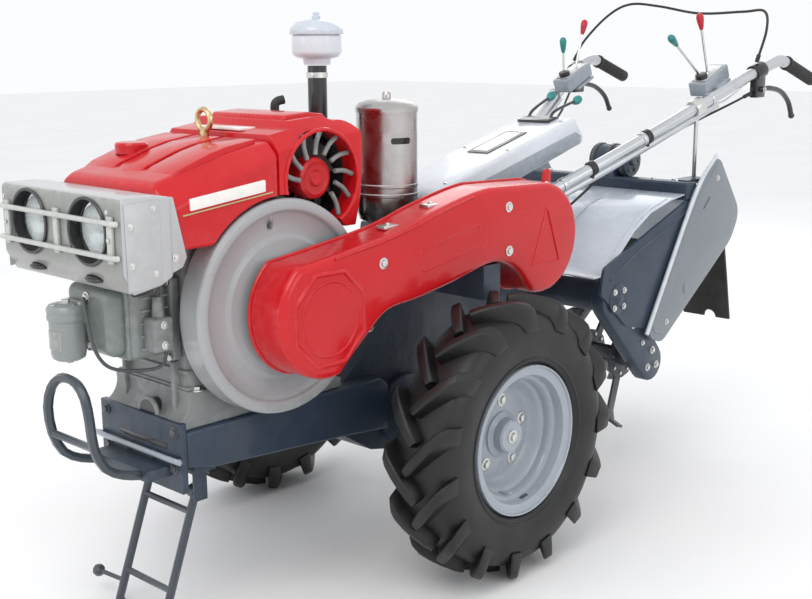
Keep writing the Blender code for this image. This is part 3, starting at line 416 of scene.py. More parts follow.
class Surface:
    """A procedural material, built up one effect after another over a Principled shader."""

    def __init__(self, name, colour, roughness, metallic=0.0, coat=0.0, specular=0.5):
        self.material = bpy.data.materials.new(name)
        self.material.use_nodes = True
        self.tree = self.material.node_tree
        self.shader = self.tree.nodes["Principled BSDF"]
        self.shader.inputs["Metallic"].default_value = metallic
        self.shader.inputs["Coat Weight"].default_value = coat
        self.shader.inputs["Coat Roughness"].default_value = 0.06
        self.shader.inputs["Specular IOR Level"].default_value = specular
        self.shader.inputs["Roughness"].default_value = roughness
        self.shader.inputs["Base Color"].default_value = (*colour, 1.0)
        self.material.diffuse_color = (*colour, 1.0)
        self.place = self.node("ShaderNodeTexCoord").outputs["Object"]
        self.colour = None
        self.base = colour
        self.height = None

    def node(self, kind, **settings):
        node = self.tree.nodes.new(kind)
        for key, value in settings.items():
            if key in node.inputs:
                node.inputs[key].default_value = value
            else:
                setattr(node, key, value)
        return node

    def link(self, output, node, key):
        self.tree.links.new(output, node.inputs[key])

    def noise(self, scale, detail=3.0, stretch=None):
        node = self.node("ShaderNodeTexNoise", Scale=scale, Detail=detail)
        if stretch:
            mapping = self.node("ShaderNodeMapping", Scale=stretch)
            self.link(self.place, mapping, "Vector")
            self.link(mapping.outputs["Vector"], node, "Vector")
        else:
            self.link(self.place, node, "Vector")
        return node.outputs["Fac"]

    def ranged(self, output, low, high, to_low=0.0, to_high=1.0):
        node = self.node("ShaderNodeMapRange")
        for key, value in (("From Min", low), ("From Max", high), ("To Min", to_low),
                           ("To Max", to_high)):
            node.inputs[key].default_value = value
        self.link(output, node, "Value")
        return node.outputs["Result"]

    def times(self, a, b):
        node = self.node("ShaderNodeMath", operation="MULTIPLY")
        self.tree.links.new(a, node.inputs[0])
        self.tree.links.new(b, node.inputs[1])
        return node.outputs["Value"]

    def mixed(self, share, low, high):
        """The colour so far, or low, changed to high where share is 1."""
        node = self.tree.nodes.new("ShaderNodeMix")
        node.data_type = "RGBA"
        self.tree.links.new(share, node.inputs["Factor"])
        first, second = node.inputs[6], node.inputs[7]
        if low is None:
            self.tree.links.new(self.colour, first)
        else:
            first.default_value = low
        second.default_value = high
        self.colour = node.outputs[2]

    def mottled(self, by=0.06, scale=22.0, stretch=None):
        share = self.ranged(self.noise(scale, 4.0, stretch), 0.3, 0.7)
        self.mixed(share, tinted(self.base, 1 - by), tinted(self.base, 1 + by))
        return self

    def dusty(self, colour, most=0.35, scale=9.0, low=0.45, high=0.75):
        """Dust in patches, thickest on what faces up."""
        normal = self.node("ShaderNodeSeparateXYZ")
        self.link(self.node("ShaderNodeNewGeometry").outputs["Normal"], normal, "Vector")
        facing = self.ranged(normal.outputs["Z"], -0.2, 1.0, 0.35, 1.0)
        patches = self.ranged(self.noise(scale, 6.0), low, high, 0.0, most)
        self.mixed(self.times(facing, patches), None, (*colour, 1.0))
        return self

    def wear_and_highlight_edges(self, colour, low=0.515, high=0.56, most=0.8):
        """Bare metal or pale rubbed colour along the sharp edges, partly real wear and partly a painted highlight."""
        edge = self.ranged(self.node("ShaderNodeNewGeometry").outputs["Pointiness"], low, high,
                           0.0, most)
        self.mixed(self.times(edge, self.ranged(self.noise(60.0), 0.40, 0.60)), None,
                   (*colour, 1.0))
        return self

    def shaded_front(self, colour, most=0.9):
        """Another tone on what faces forward: a painted shade."""
        normal = self.node("ShaderNodeSeparateXYZ")
        self.link(self.node("ShaderNodeNewGeometry").outputs["Normal"], normal, "Vector")
        share = self.ranged(normal.outputs["X"], 0.55, 0.75, 0.0, most)
        self.mixed(self.times(share, self.ranged(self.noise(6.0), 0.2, 0.5, 0.75, 1.0)), None,
                   (*colour, 1.0))
        return self

    def gloss(self, low, high, scale=14.0):
        self.link(self.ranged(self.noise(scale, 4.0), 0.3, 0.7, low, high), self.shader,
                  "Roughness")
        return self

    def bumpy(self, scale, depth, detail=3.0, stretch=None):
        """Unevenness in the surface, depth being in metres."""
        bump = self.node("ShaderNodeBump", Strength=1.0, Distance=depth)
        self.link(self.noise(scale, detail, stretch), bump, "Height")
        if self.height is not None:
            self.link(self.height, bump, "Normal")
        self.height = bump.outputs["Normal"]
        return self

    def done(self):
        if self.colour is not None:
            self.link(self.colour, self.shader, "Base Color")
        if self.height is not None:
            self.link(self.height, self.shader, "Normal")
        return self.material


DUST = (0.42, 0.38, 0.32)


def paint(name, colour, roughness=0.25, coat=0.6, dust=0.10, wear_and_highlight=0.35, wear_and_highlight_colour=None,
          specular=0.4):
    """Sprayed paint: a little uneven in tone, with orange peel, dust and rubbed edges, the pale edges being partly a
    painted highlight.
    """
    made = Surface(name, colour, roughness, coat=coat, specular=specular)
    made.mottled(0.05, 7.0).dusty(DUST, dust)
    made.wear_and_highlight_edges(wear_and_highlight_colour or tinted(colour, 1.6)[:3], most=wear_and_highlight)
    return made.gloss(roughness * 0.8, roughness * 1.5).bumpy(140.0, 0.00025).done()


def casting(name, colour, roughness=0.45, dust=0.18, wear_and_highlight=0.5, coat=0.15):
    """Painted sand casting: grainy and softly uneven."""
    made = Surface(name, colour, roughness, coat=coat)
    # the pale sharp edges are partly wear and partly a painted highlight
    made.mottled(0.12, 16.0).dusty(DUST, dust).wear_and_highlight_edges(tinted(colour, 1.7)[:3], most=wear_and_highlight)
    made.gloss(roughness * 0.8, roughness * 1.3)
    return made.bumpy(420.0, 0.0009).bumpy(35.0, 0.0018).done()


def metal(name, colour, roughness=0.25, stretch=None, grain=0.0002, dust=0.05):
    """Bare or plated metal, brushed along one way if it is stretched."""
    made = Surface(name, colour, roughness, metallic=1.0)
    made.mottled(0.08, 18.0, stretch).dusty(DUST, dust)
    return made.gloss(roughness * 0.7, roughness * 1.5, 24.0).bumpy(
        260.0, grain, stretch=stretch).done()


def moulded(name, colour, roughness=0.5, grain=0.0004, dust=0.15, scale=500.0):
    """Moulded rubber or plastic with a fine grain."""
    made = Surface(name, colour, roughness)
    # the pale sharp edges are partly wear and partly a painted highlight
    made.mottled(0.10, 20.0).dusty(DUST, dust).wear_and_highlight_edges(tinted(colour, 2.2)[:3], most=0.3)
    return made.gloss(roughness * 0.85, roughness * 1.2).bumpy(scale, grain).done()


# the pink on this red's sharp edges is a painted highlight on the rounded edges as well as rubbed paint
RED = paint("red_paint_gloss", (0.52, 0.006, 0.010), 0.22, 0.30, dust=0.02, wear_and_highlight=0.20,
            wear_and_highlight_colour=(0.74, 0.07, 0.08), specular=0.25)
HUB_RED = paint("red_paint_cast", (0.46, 0.008, 0.012), 0.35, 0.2, dust=0.04, specular=0.25)
BLUE = paint("slate_blue_paint", (0.024, 0.039, 0.064), 0.35, 0.25, dust=0.10, wear_and_highlight=0.4,
             specular=0.3)
BLUE_CAST = casting("slate_blue_casting", (0.020, 0.033, 0.055), 0.42, dust=0.10)
CAST = casting("grey_casting", (0.185, 0.198, 0.195), 0.42)
GREEN_CAST = casting("engine_front_casting", (0.150, 0.172, 0.162), 0.30, coat=0.5)
FOOT_CAST = casting("engine_foot_casting", (0.29, 0.305, 0.305), 0.40)
WHEEL_GREY = paint("flywheel_grey_paint", (0.33, 0.34, 0.35), 0.28, 0.4, dust=0.04,
                   wear_and_highlight=0.1)
def lamp_box_paint_and_front_shade():
    made = Surface("lamp_box_grey_paint_front_shade", (0.42, 0.43, 0.44), 0.26, coat=0.4, specular=0.4)
    # the darker grey on the forward faces is painted shade
    made.mottled(0.04, 7.0).shaded_front((0.235, 0.24, 0.222)).wear_and_highlight_edges((0.60, 0.60, 0.58), most=0.15)
    return made.gloss(0.22, 0.38).bumpy(140.0, 0.00025).done()


LAMP_GREY = lamp_box_paint_and_front_shade()
GUARD = paint("guard_bar_paint", (0.44, 0.45, 0.43), 0.30, 0.4, dust=0.06)
SILVER = paint("silver_white_paint", (0.50, 0.54, 0.60), 0.26, 0.6, dust=0.03, wear_and_highlight=0.1)
CONSOLE_WHITE = paint("console_white_paint", (0.62, 0.65, 0.70), 0.28, 0.5, dust=0.02,
                      wear_and_highlight=0.1)
# darker grey: painted shade on the console's side faces, and the colour of the control cases
SIDE_SHADE_AND_CASE_GREY = paint("console_side_shade_and_case_grey", (0.26, 0.29, 0.33), 0.35, 0.4)
SHIELD = paint("shield_grey_paint", (0.175, 0.195, 0.220), 0.30, 0.4, dust=0.05)
SHIELD_RIM = paint("shield_rim_paint", (0.52, 0.56, 0.60), 0.28, 0.5)
RIM = paint("rim_silver_paint", (0.300, 0.330, 0.370), 0.28, 0.5, dust=0.08, wear_and_highlight=0.2)
STRIP = paint("side_strip_enamel", (0.80, 0.78, 0.74), 0.25, 0.6, dust=0.04)
LABEL = paint("blank_label", (0.82, 0.83, 0.80), 0.35, 0.3, dust=0.04, wear_and_highlight=0.1)
DARK_LABEL = paint("blank_label_edge", (0.06, 0.07, 0.06), 0.35, 0.3, dust=0.05, wear_and_highlight=0.1)
FILTER_GREY = paint("filter_canister_paint", (0.23, 0.25, 0.255), 0.34, 0.4)
STAINLESS = metal("stainless_steel", (0.47, 0.45, 0.44), 0.27, stretch=(1.0, 1.0, 0.05))
STEEL = metal("zinc_plated_steel", (0.66, 0.66, 0.64), 0.30)
BRASS = metal("yellow_zinc_plating", (0.62, 0.50, 0.28), 0.30)
TUBE_STEEL = metal("handlebar_plating", (0.58, 0.60, 0.62), 0.28, stretch=(0.1, 1.0, 1.0))
DARK_STEEL = casting("dark_steel", (0.050, 0.055, 0.062), 0.40, dust=0.25)
TINE_STEEL = casting("tine_steel", (0.035, 0.042, 0.052), 0.38, dust=0.25)
STAND_STEEL = paint("stand_grey_paint", (0.042, 0.053, 0.066), 0.32, 0.3, dust=0.12)
BLACK = moulded("black_plastic", (0.012, 0.012, 0.013), 0.35, dust=0.06)
BLACK_PAINT = paint("black_paint", (0.014, 0.014, 0.016), 0.25, 0.5, dust=0.08)
RUBBER = moulded("black_rubber", (0.016, 0.016, 0.016), 0.60)
TYRE = moulded("tyre_rubber", (0.0036, 0.0038, 0.0043), 0.44, grain=0.0006, dust=0.025,
               scale=300.0)
BELT = moulded("belt_rubber", (0.02, 0.02, 0.02), 0.65)
RED_KNOB = moulded("red_knob_plastic", (0.42, 0.008, 0.02), 0.28, grain=0.0001, dust=0.03)
GREEN_KNOB = moulded("green_knob_plastic", (0.015, 0.18, 0.16), 0.28, grain=0.0001, dust=0.03)


def glass():
    made = Surface("lamp_lens_glass", (0.86, 0.90, 0.90), 0.06)
    made.shader.inputs["Transmission Weight"].default_value = 0.75
    made.shader.inputs["IOR"].default_value = 1.45
    made.mottled(0.04, 30.0)
    return made.gloss(0.03, 0.10, 12.0).bumpy(90.0, 0.0006, stretch=(0.2, 4.0, 1.0)).done()


def reflector():
    made = Surface("lamp_reflector", (0.78, 0.79, 0.80), 0.10, metallic=1.0)
    made.mottled(0.10, 26.0)
    return made.gloss(0.08, 0.22, 30.0).bumpy(60.0, 0.0008).done()


GLASS = glass()
REFLECTOR = reflector()


# ---------------------------------------------------------------- camera, floor and lights

def aimed(obj, at, to):
    obj.location = at
    obj.rotation_euler = (Vector(to) - Vector(at)).to_track_quat("-Z", "Y").to_euler()
    return obj


def add_camera():
    camera = bpy.data.cameras.new("camera")
    camera.lens = 53.4
    camera.sensor_width = 36.0
    camera.clip_end = 60.0
    obj = bpy.data.objects.new("camera", camera)
    bpy.context.scene.collection.objects.link(obj)
    place = Vector((2.3912, 2.0194, 1.1813))
    aimed(obj, place, place + Vector((-0.7110, -0.6712, -0.2094)))
    obj.rotation_euler.rotate_axis("Z", radians(-0.29))
    bpy.context.scene.camera = obj


def add_light(name, at, to, size, energy, colour=WHITE):
    light = bpy.data.lights.new(name, "AREA")
    light.shape = "RECTANGLE"
    light.size, light.size_y = size
    light.energy = energy
    light.color = colour
    obj = bpy.data.objects.new(name, light)
    bpy.context.scene.collection.objects.link(obj)
    aimed(obj, at, to)


def add_stage():
    world = bpy.data.worlds.new("studio")
    world.use_nodes = True
    background = world.node_tree.nodes["Background"]
    background.inputs["Color"].default_value = (0.97, 0.98, 1.0, 1.0)
    background.inputs["Strength"].default_value = 1.0
    bpy.context.scene.world = world
    bpy.context.scene.view_settings.view_transform = "Standard"
    floor_paint = Surface("floor_paint", (0.90, 0.90, 0.90), 0.60)
    floor_paint.mottled(0.02, 1.5).gloss(0.5, 0.7)
    bm = bmesh.new()
    bmesh.ops.create_grid(bm, x_segments=1, y_segments=1, size=25.0)
    floor = from_bmesh("floor", bm)
    floor.data.materials.append(floor_paint.done())
    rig.stage(floor)
    middle = (0.0, 0.0, 0.6)
    add_light("key", (3.2, 1.2, 4.2), middle, (2.6, 2.6), 66.0, (1.0, 0.98, 0.95))
    add_light("side", (0.4, 4.6, 2.2), middle, (3.0, 2.0), 30.0)
    add_light("front", (4.6, -1.6, 1.8), middle, (2.0, 2.4), 17.0, (0.96, 0.98, 1.0))
    add_light("rear", (-3.6, -2.6, 3.4), middle, (2.4, 2.4), 30.0)


# ---------------------------------------------------------------- pieces taken from the frame

def refined(node, surface, rounding=0.0015, segments=2, smooth=35, name=None, keep=False):
    """A node's own solid with its facets merged, its edges rounded and its curves shaded."""
    source = frame["nodes"][node]
    bm = bmesh.new()
    bm.from_mesh(source.data)
    bmesh.ops.remove_doubles(bm, verts=bm.verts, dist=1e-5)
    bmesh.ops.dissolve_limit(bm, angle_limit=radians(1.0), verts=bm.verts, edges=bm.edges)
    bmesh.ops.translate(bm, vec=-ORIGIN, verts=bm.verts)
    obj = from_bmesh(node, bm, smooth)
    if rounding:
        rounded_edges(obj, rounding, segments, 40)
    if keep:
        return obj
    return finished(obj, name or node + "_shape", surface, [node], body=source["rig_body"])


SLOTS = {
    "red_paint": [RED, HUB_RED, RED_KNOB],
    "steel_plate": [STEEL, BRASS],
    "pale_paint": [WHEEL_GREY, STRIP, LAMP_GREY, GUARD, FILTER_GREY, CONSOLE_WHITE, SIDE_SHADE_AND_CASE_GREY,
                   GREEN_KNOB, LABEL],
    "black_plastic": [BLACK_PAINT, BLACK],
    "rubber": [RUBBER, BELT],
    "dark_steel": [DARK_STEEL, TINE_STEEL, STAND_STEEL],
    "cast_paint": [CAST, GREEN_CAST, FOOT_CAST],
    "blue_paint": [BLUE_CAST, BLUE],
    "rim_paint": [RIM, SHIELD_RIM],
    "stainless": [STAINLESS, TUBE_STEEL],
    "silver_paint": [SILVER],
    "tyre_rubber": [TYRE],
    "lamp_glass": [REFLECTOR, GLASS],
    "shield_paint": [SHIELD],
}
SLOT_OF = {surface: slot for slot, surfaces in SLOTS.items() for surface in surfaces}
# nodes shown as they are, with rounded edges
PLAIN = {
    "axle_housing_left": BLUE_CAST, "axle_housing_right": BLUE_CAST, "clutch_pulley": CAST,
    "depth_rod": STEEL, "drive_belts": BELT, "frame_rail_left": BLUE, "frame_rail_right": BLUE,
    "front_bumper": STAND_STEEL, "front_stand": STAND_STEEL,
}


# ---------------------------------------------------------------- wheels

LUGS = 15  # bars on each half of the tread
LUG_LEAN = 0.30  # how far round the wheel, in radians, a bar runs from the middle to the shoulder
SHOULDER_Y = 0.0825
RIM_R = 0.1525
DISC_R = 0.112
WHEEL_BOLTS = 5
HUB_R = 0.050


def tyre_side():
    """The tyre's outside from its bead to the middle of its tread, as radius and width."""
    given = [(0.1715, 0.0585), (0.176, 0.066), (0.1835, 0.0715), (0.1855, 0.0742), (0.1885, 0.0742),
             (0.1905, 0.0730), (0.205, 0.0775), (0.228, 0.0808), (0.252, 0.0790), (0.272, 0.0700),
             (0.284, 0.0550), (0.2895, 0.0300), (0.2910, 0.0)]
    curve = smooth_through([(r, y, 0.0) for r, y in given], 3)
    return [(point.x, point.y) for point in curve]


def casing_radius(side, y):
    """The tread's radius between its bars, at this width."""
    for (outer_r, outer_y), (inner_r, inner_y) in zip(side[-24:], side[-23:]):
        if inner_y <= y <= outer_y:
            return outer_r + (inner_r - outer_r) * (outer_y - y) / (outer_y - inner_y)
    return side[-1][0] if y < 0.01 else 0.262


def tread_bar(side):
    """One bar of the tread's left half, starting just over the middle at angle nought."""
    stations = [(-0.010, 0.3165, 0.0085, 0.0140), (0.004, 0.3192, 0.0100, 0.0160),
                (0.022, 0.3200, 0.0102, 0.0170), (0.042, 0.3195, 0.0105, 0.0175),
                (0.060, 0.3175, 0.0110, 0.0185), (0.072, 0.3120, 0.0118, 0.0200),
                (0.0800, 0.3000, 0.0118, 0.0200), (0.0838, 0.2760, 0.0090, 0.0160)]
    bm = bmesh.new()
    rings = []
    for y, top, half_top, half_foot in stations:
        share = max(0.0, y / SHOULDER_Y)
        across = Vector((1.0 - 0.30 * (1 - share), -0.70 * (1 - share ** 3)))
        foot = casing_radius(side, min(max(y, 0.0), 0.078)) - 0.005
        section = [(-half_foot, foot), (-half_top - 0.0015, top - 0.004), (-half_top + 0.002, top),
                   (half_top - 0.002, top), (half_top + 0.0015, top - 0.004), (half_foot, foot)]
        ring = []
        for offset, radius in section:
            turn = LUG_LEAN * y / SHOULDER_Y + offset * across.x / radius
            ring.append(bm.verts.new((radius * cos(turn), y + offset * across.y,
                                      radius * sin(turn))))
        rings.append(ring)
    for low, high in zip(rings, rings[1:]):
        for k in range(len(low)):
            after = (k + 1) % len(low)
            bm.faces.new((low[k], low[after], high[after], high[k]))
    bm.faces.new(rings[0])
    bm.faces.new(rings[-1])
    return rounded_edges(from_bmesh("bar", bm), 0.0022, 2, 25)


def make_tyres():
    outer = tyre_side()
    ring = [(RIM_R + 0.0003, 0.058)] + outer
    ring += [(r, -y) for r, y in reversed(outer[:-1])] + [(RIM_R + 0.0003, -0.058)]
    for side, word in both_sides():
        x, z = centre_of("wheel_%s_roll" % word)
        middle = side * joint_place("wheel_left_roll").y
        pieces = [turned("casing", ring + ring[:1], 0.0, 0.0, 120)]
        for k in range(2 * LUGS):
            bar = moved(tread_bar(outer), Matrix.Rotation(-pi * k / LUGS, 4, "Y"))
            if k % 2:
                mirrored = Matrix.Scale(-1, 4, (0, 1, 0))
                moved(bar, mirrored)
                bar.data.flip_normals()
            pieces.append(bar)
        tyre = moved(gathered("tyre", pieces), Matrix.Translation((x, middle, z)))
        finished(tyre, "tyre_%s_tread" % word, TYRE, ["tyre_" + word], body="wheel_" + word)


def make_rims():
    lip_r, lip_y = RIM_R + 0.0175, 0.068
    front = [(0.0, -0.006), (0.052, -0.006), (DISC_R - 0.010, -0.012), (DISC_R, -0.006),
             (DISC_R + 0.006, 0.006), (DISC_R + 0.012, 0.014), (0.1285, 0.016), (0.1300, 0.030),
             (0.1345, 0.036), (0.1420, 0.038), (0.1440, 0.050), (0.1465, 0.0585),
             (0.1560, 0.0610), (0.1640, 0.0625), (lip_r - 0.004, 0.0665), (lip_r - 0.001, lip_y),
             (lip_r, 0.0660), (lip_r - 0.0005, 0.0583), (RIM_R, 0.0583)]
    rear = [(RIM_R, -0.0583), (lip_r, -0.0583), (lip_r, -lip_y), (0.1465, -lip_y), (0.1440, -0.050),
            (0.1300, -0.030), (0.1250, -0.020), (HUB_R, -0.012), (HUB_R, -0.1085), (0.0, -0.1085)]
    for side, word in both_sides():
        x, z = centre_of("wheel_%s_roll" % word)
        middle = side * joint_place("wheel_left_roll").y
        profile = [(r, side * y) for r, y in front + rear]
        pieces = [turned("dish", profile, 0.0, 0.0, 128)]
        boss = [(0.0, 0.026), (0.034, 0.026), (0.038, 0.022), (0.040, 0.004), (0.052, -0.002),
                (0.052, -0.008), (0.0, -0.008)]
        pieces.append(turned("boss", [(r, side * y) for r, y in boss], 0.0, 0.0, 64))
        pieces.append(rod("valve", (0.030, side * 0.012, -0.126), (0.026, side * 0.044, -0.120),
                          0.0042, 0.0034, 16, 0.0006))
        rim = moved(gathered("rim", pieces), Matrix.Translation((x, middle, z)))
        finished(rim, "rim_%s_dish" % word, RIM, ["rim_" + word], body="wheel_" + word)
        bolts = []
        for k in range(WHEEL_BOLTS):
            turn = 2 * pi * (k + 0.3) / WHEEL_BOLTS
            at = (0.078 * cos(turn), side * -0.009, 0.078 * sin(turn))
            bolts.append(hex_bolt(at, (0, side, 0), 0.0105))
        bolts.append(hex_bolt((0, side * 0.026, 0), (0, side, 0), 0.011))
        bolts = moved(gathered("bolts", bolts), Matrix.Translation((x, middle, z)))
        finished(bolts, "wheel_bolts_" + word, STEEL, body="wheel_" + word)
        label = moved(box("label", (-0.012, side * 0.040, -0.1425), (0.012, side * 0.049, -0.1415)),
                      Matrix.Rotation(radians(8), 4, "Y"))
        moved(label, Matrix.Translation((x, middle, z)))
        finished(label, "rim_label_" + word, DARK_LABEL, body="wheel_" + word)


# ---------------------------------------------------------------- belt drive

COVER_FACE = 0.315  # y of the belt cover's outer face
COVER_BACK = 0.215
COVER_R = 0.132
COVER_FRONT = (0.428, 0.652)  # x, z of its front round end
FLYWHEEL_FACE = 0.200
FLYWHEEL_BACK = 0.135
FLYWHEEL_R = 0.222


def cover_outline(inset):
    """The belt cover's side view: a round end at each pulley, and a band that dips between."""
    r = COVER_R - inset
    dip = 0.683 + inset
    front = arc(*COVER_FRONT, r, -100, 52, 40)
    top = smooth_through([(*front[-1], 0), (0.250, 0.792 - inset, 0), (0.106, 0.828 - inset, 0),
                          (-0.030, 0.856 - inset, 0), (-0.150, 0.866 - inset, 0)], 6)[1:-4]
    rear = arc(*centre_of("clutch_spin"), r, 92, 290, 56)
    bottom = smooth_through([(*rear[-1], 0), (-0.175, dip - 0.030, 0), (-0.125, dip - 0.003, 0),
                             (-0.065, dip + 0.002, 0), (0.050, 0.662 + inset, 0),
                             (0.167, 0.643 + inset, 0), (0.262, 0.632 + inset, 0),
                             (0.325, 0.590 + inset, 0), (*front[0], 0)], 5)[1:-1]
    return front + [tuple(p[:2]) for p in top] + rear + [tuple(p[:2]) for p in bottom]


def ridge(points, radius, closed=False):
    """A raised bead on the belt cover's face, through x, z points."""
    y = COVER_FACE - radius * 0.45
    return tube("ridge", [(x, y, z) for x, z in points], radius, 1, 4, closed)


def make_belt_cover():
    shell = slab("shell", cover_outline(0.0), COVER_BACK - 0.03, COVER_FACE, 0.016, 5, 50)
    hollow = slab("hollow", cover_outline(0.004), COVER_BACK - 0.06, COVER_FACE - 0.004, 0.013,
                  4, 50)
    trim = box("trim", (-1, COVER_BACK - 0.06, 0), (1, COVER_BACK, 1.4))
    cut(shell, hollow, trim)
    x, z = COVER_FRONT
    x, z = x + 0.004, z - 0.008
    octagon = arc(x, z, 0.100, 22.5, 382.5, 8)[:-1]
    rear_x, rear_z = centre_of("clutch_spin")
    triangle = [(rear_x + 0.050, rear_z - 0.060), (rear_x - 0.055, rear_z - 0.060),
                (rear_x - 0.004, rear_z + 0.072)]
    blank = rounded([(0.165, 0.700, 0.012), (-0.030, 0.738, 0.012), (-0.026, 0.784, 0.012),
                     (0.172, 0.746, 0.012)])
    pieces = [shell, ridge(octagon, 0.0068, True), ridge(triangle, 0.0046, True),
              ridge(arc(x, z, 0.076, 0, 360, 48)[:-1], 0.0036, True),
              ridge(blank, 0.0024, True)]
    bead = [(px, pz) for px, pz in cover_outline(0.0065)]
    pieces.append(tube("hem", [(px, COVER_BACK + 0.004, pz) for px, pz in cover_outline(-0.001)],
                       0.0035, 1, 3, True))
    pieces.append(ridge(bead[42:58:3], 0.0022))
    lug = slab("lug", rounded([(-0.350, 0.842, 0.004), (-0.350, 0.876, 0.010),
                               (-0.325, 0.880, 0.010), (-0.318, 0.846, 0.004)]),
               0.262, 0.268, 0.001)
    finished(pieces + [lug], "belt_cover_shell", RED, ["belt_cover"])
    bolts = [hex_bolt((px, COVER_FACE, pz), (0, 1, 0), 0.0085)
             for px, pz in ((0.283, 0.736), (-0.128, 0.811), (-0.131, 0.709))]
    bolts.append(hex_bolt((0.300, 0.290, 0.5980), (-0.55, 0, -0.83), 0.0065))
    bolts.append(hex_bolt((-0.330, 0.270, 0.8405), (-0.35, 0, 0.90), 0.0080))
    finished(bolts, "belt_cover_bolts", STEEL)
    clips = []
    for px, pz in ((0.220, 0.802), (0.085, 0.8335)):
        clips.append(box("clip", (px - 0.022, 0.252, pz - 0.006), (px + 0.022, 0.280, pz + 0.002),
                         0.0015, 2))
        clips.append(hex_bolt((px, 0.266, pz + 0.002), (0, 0, 1), 0.0055))
    finished(clips, "belt_cover_clips", STEEL)


def make_flywheel():
    x, z = centre_of("crank_spin")
    face, back, r = FLYWHEEL_FACE, FLYWHEEL_BACK, FLYWHEEL_R
    profile = [(0.0, 0.1286), (0.036, 0.1286), (0.036, back), (r - 0.005, back),
               (r - 0.001, back + 0.003),
               (r, back + 0.008), (r - 0.001, back + 0.012), (r - 0.001, face - 0.012),
               (r, face - 0.008), (r - 0.002, face - 0.003), (r - 0.006, face),
               (r - 0.021, face), (r - 0.024, face - 0.001), (r - 0.027, face - 0.006),
               (r - 0.031, face - 0.009), (0.152, face - 0.011), (0.148, face - 0.0095),
               (0.143, face - 0.0055), (0.139, face - 0.0045), (0.118, face - 0.0050),
               (0.112, face - 0.002), (0.0, face - 0.002)]
    wheel = turned("wheel", profile, x, z, 160, 28)
    hole = rod("hole", (x + 0.03, face - 0.030, z + 0.170), (x + 0.03, face + 0.03, z + 0.170),
               0.009)
    wheel = cut(wheel, hole)
    pulley = refined("flywheel", WHEEL_GREY, 0.0, keep=True)
    keep = rod("keep", (x, face - 0.0025, z), (x, COVER_FACE, z), 0.075, sides=48)
    booleaned(pulley, [keep], "INTERSECT")
    finished([wheel, pulley], "flywheel_wheel", WHEEL_GREY, ["flywheel"], body="crankshaft")


# ---------------------------------------------------------------- bonnet

HOOD_HALF = 0.192
HOOD_FOOT = 0.8000
HOOD_SPLIT = 0.450
TANK_FRONT = 0.725
FAN_HOLE_R = 0.100


def flywheel_arch(name):
    x, z = centre_of("crank_spin")
    low = FLYWHEEL_BACK - 0.008
    return rod(name, (x, low, z), (x, low + 1.0, z), FLYWHEEL_R + 0.006, sides=128)


def shoulder(side, front, rear, drop):
    """A cutter that slopes off a bonnet's upper edge, along its side."""
    start = Vector((front[0], side * HOOD_HALF, front[1] - drop))
    along = Vector((rear[0] - front[0], 0, rear[1] - front[1])).normalized()
    inward = Vector((0, -side, 1))
    inward = (inward - along * inward.dot(along)).normalized()
    out = along.cross(inward)
    if out.z < 0:
        out, inward = -out, -inward
    place = Matrix((along, inward, out)).transposed().to_4x4()
    place.translation = start
    return moved(box("shoulder", (-0.3, -0.3, 0), (0.6, 0.3, 0.2)), place)


def make_tank():
    front, split = TANK_FRONT, HOOD_SPLIT + 0.0006
    outline = [(front, 0.860), (0.700, HOOD_FOOT), (split, HOOD_FOOT), (split, 0.990),
               (0.560, 0.970), (front - 0.012, 0.927), (front, 0.914)]
    tank = slab("tank", outline, -HOOD_HALF, HOOD_HALF)
    tank = cut(tank, *[shoulder(side, (0.700, 0.919), (0.470, 0.991), 0.034) for side in (1, -1)])
    rounded_edges(tank, 0.014, 5, 16)
    tank = cut(tank, flywheel_arch("arch"))
    pieces = [tank]
    for low, high in ((-0.150, -0.055), (-0.040, 0.040), (0.055, 0.150)):
        top = [(0.694, 0.9250), (0.660, 0.9470), (0.590, 0.9715), (0.545, 0.9830), (0.475, 0.9935),
               (0.475, 0.9800), (0.590, 0.9500), (0.694, 0.9200)]
        pieces.append(slab("panel", top, low, high, 0.0045, 3, 25))
    cap = [(0.0, 0.960), (0.033, 0.960), (0.034, 0.978), (0.031, 0.9825), (0.020, 0.984),
           (0.0, 0.984)]
    pieces.append(upright("cap", cap, 0.600, -0.095))
    finished(pieces, "fuel_tank_shell", RED, ["fuel_tank"])
    strip = slab("strip", rounded([(0.672, 0.896, 0.003), (0.672, 0.873, 0.003),
                                   (0.488, 0.893, 0.003), (0.488, 0.917, 0.003)]),
                 HOOD_HALF - 0.002, HOOD_HALF + 0.0025, 0.0012, 2)
    finished(strip, "tank_side_strip", STRIP)
    hem = tube("hem", [(0.690, HOOD_HALF + 0.0005, 0.8655), (0.590, HOOD_HALF + 0.0005, 0.8765),
                       (0.470, HOOD_HALF + 0.0005, 0.890)], 0.0020, 1)
    finished(hem, "tank_side_bead", BRASS)


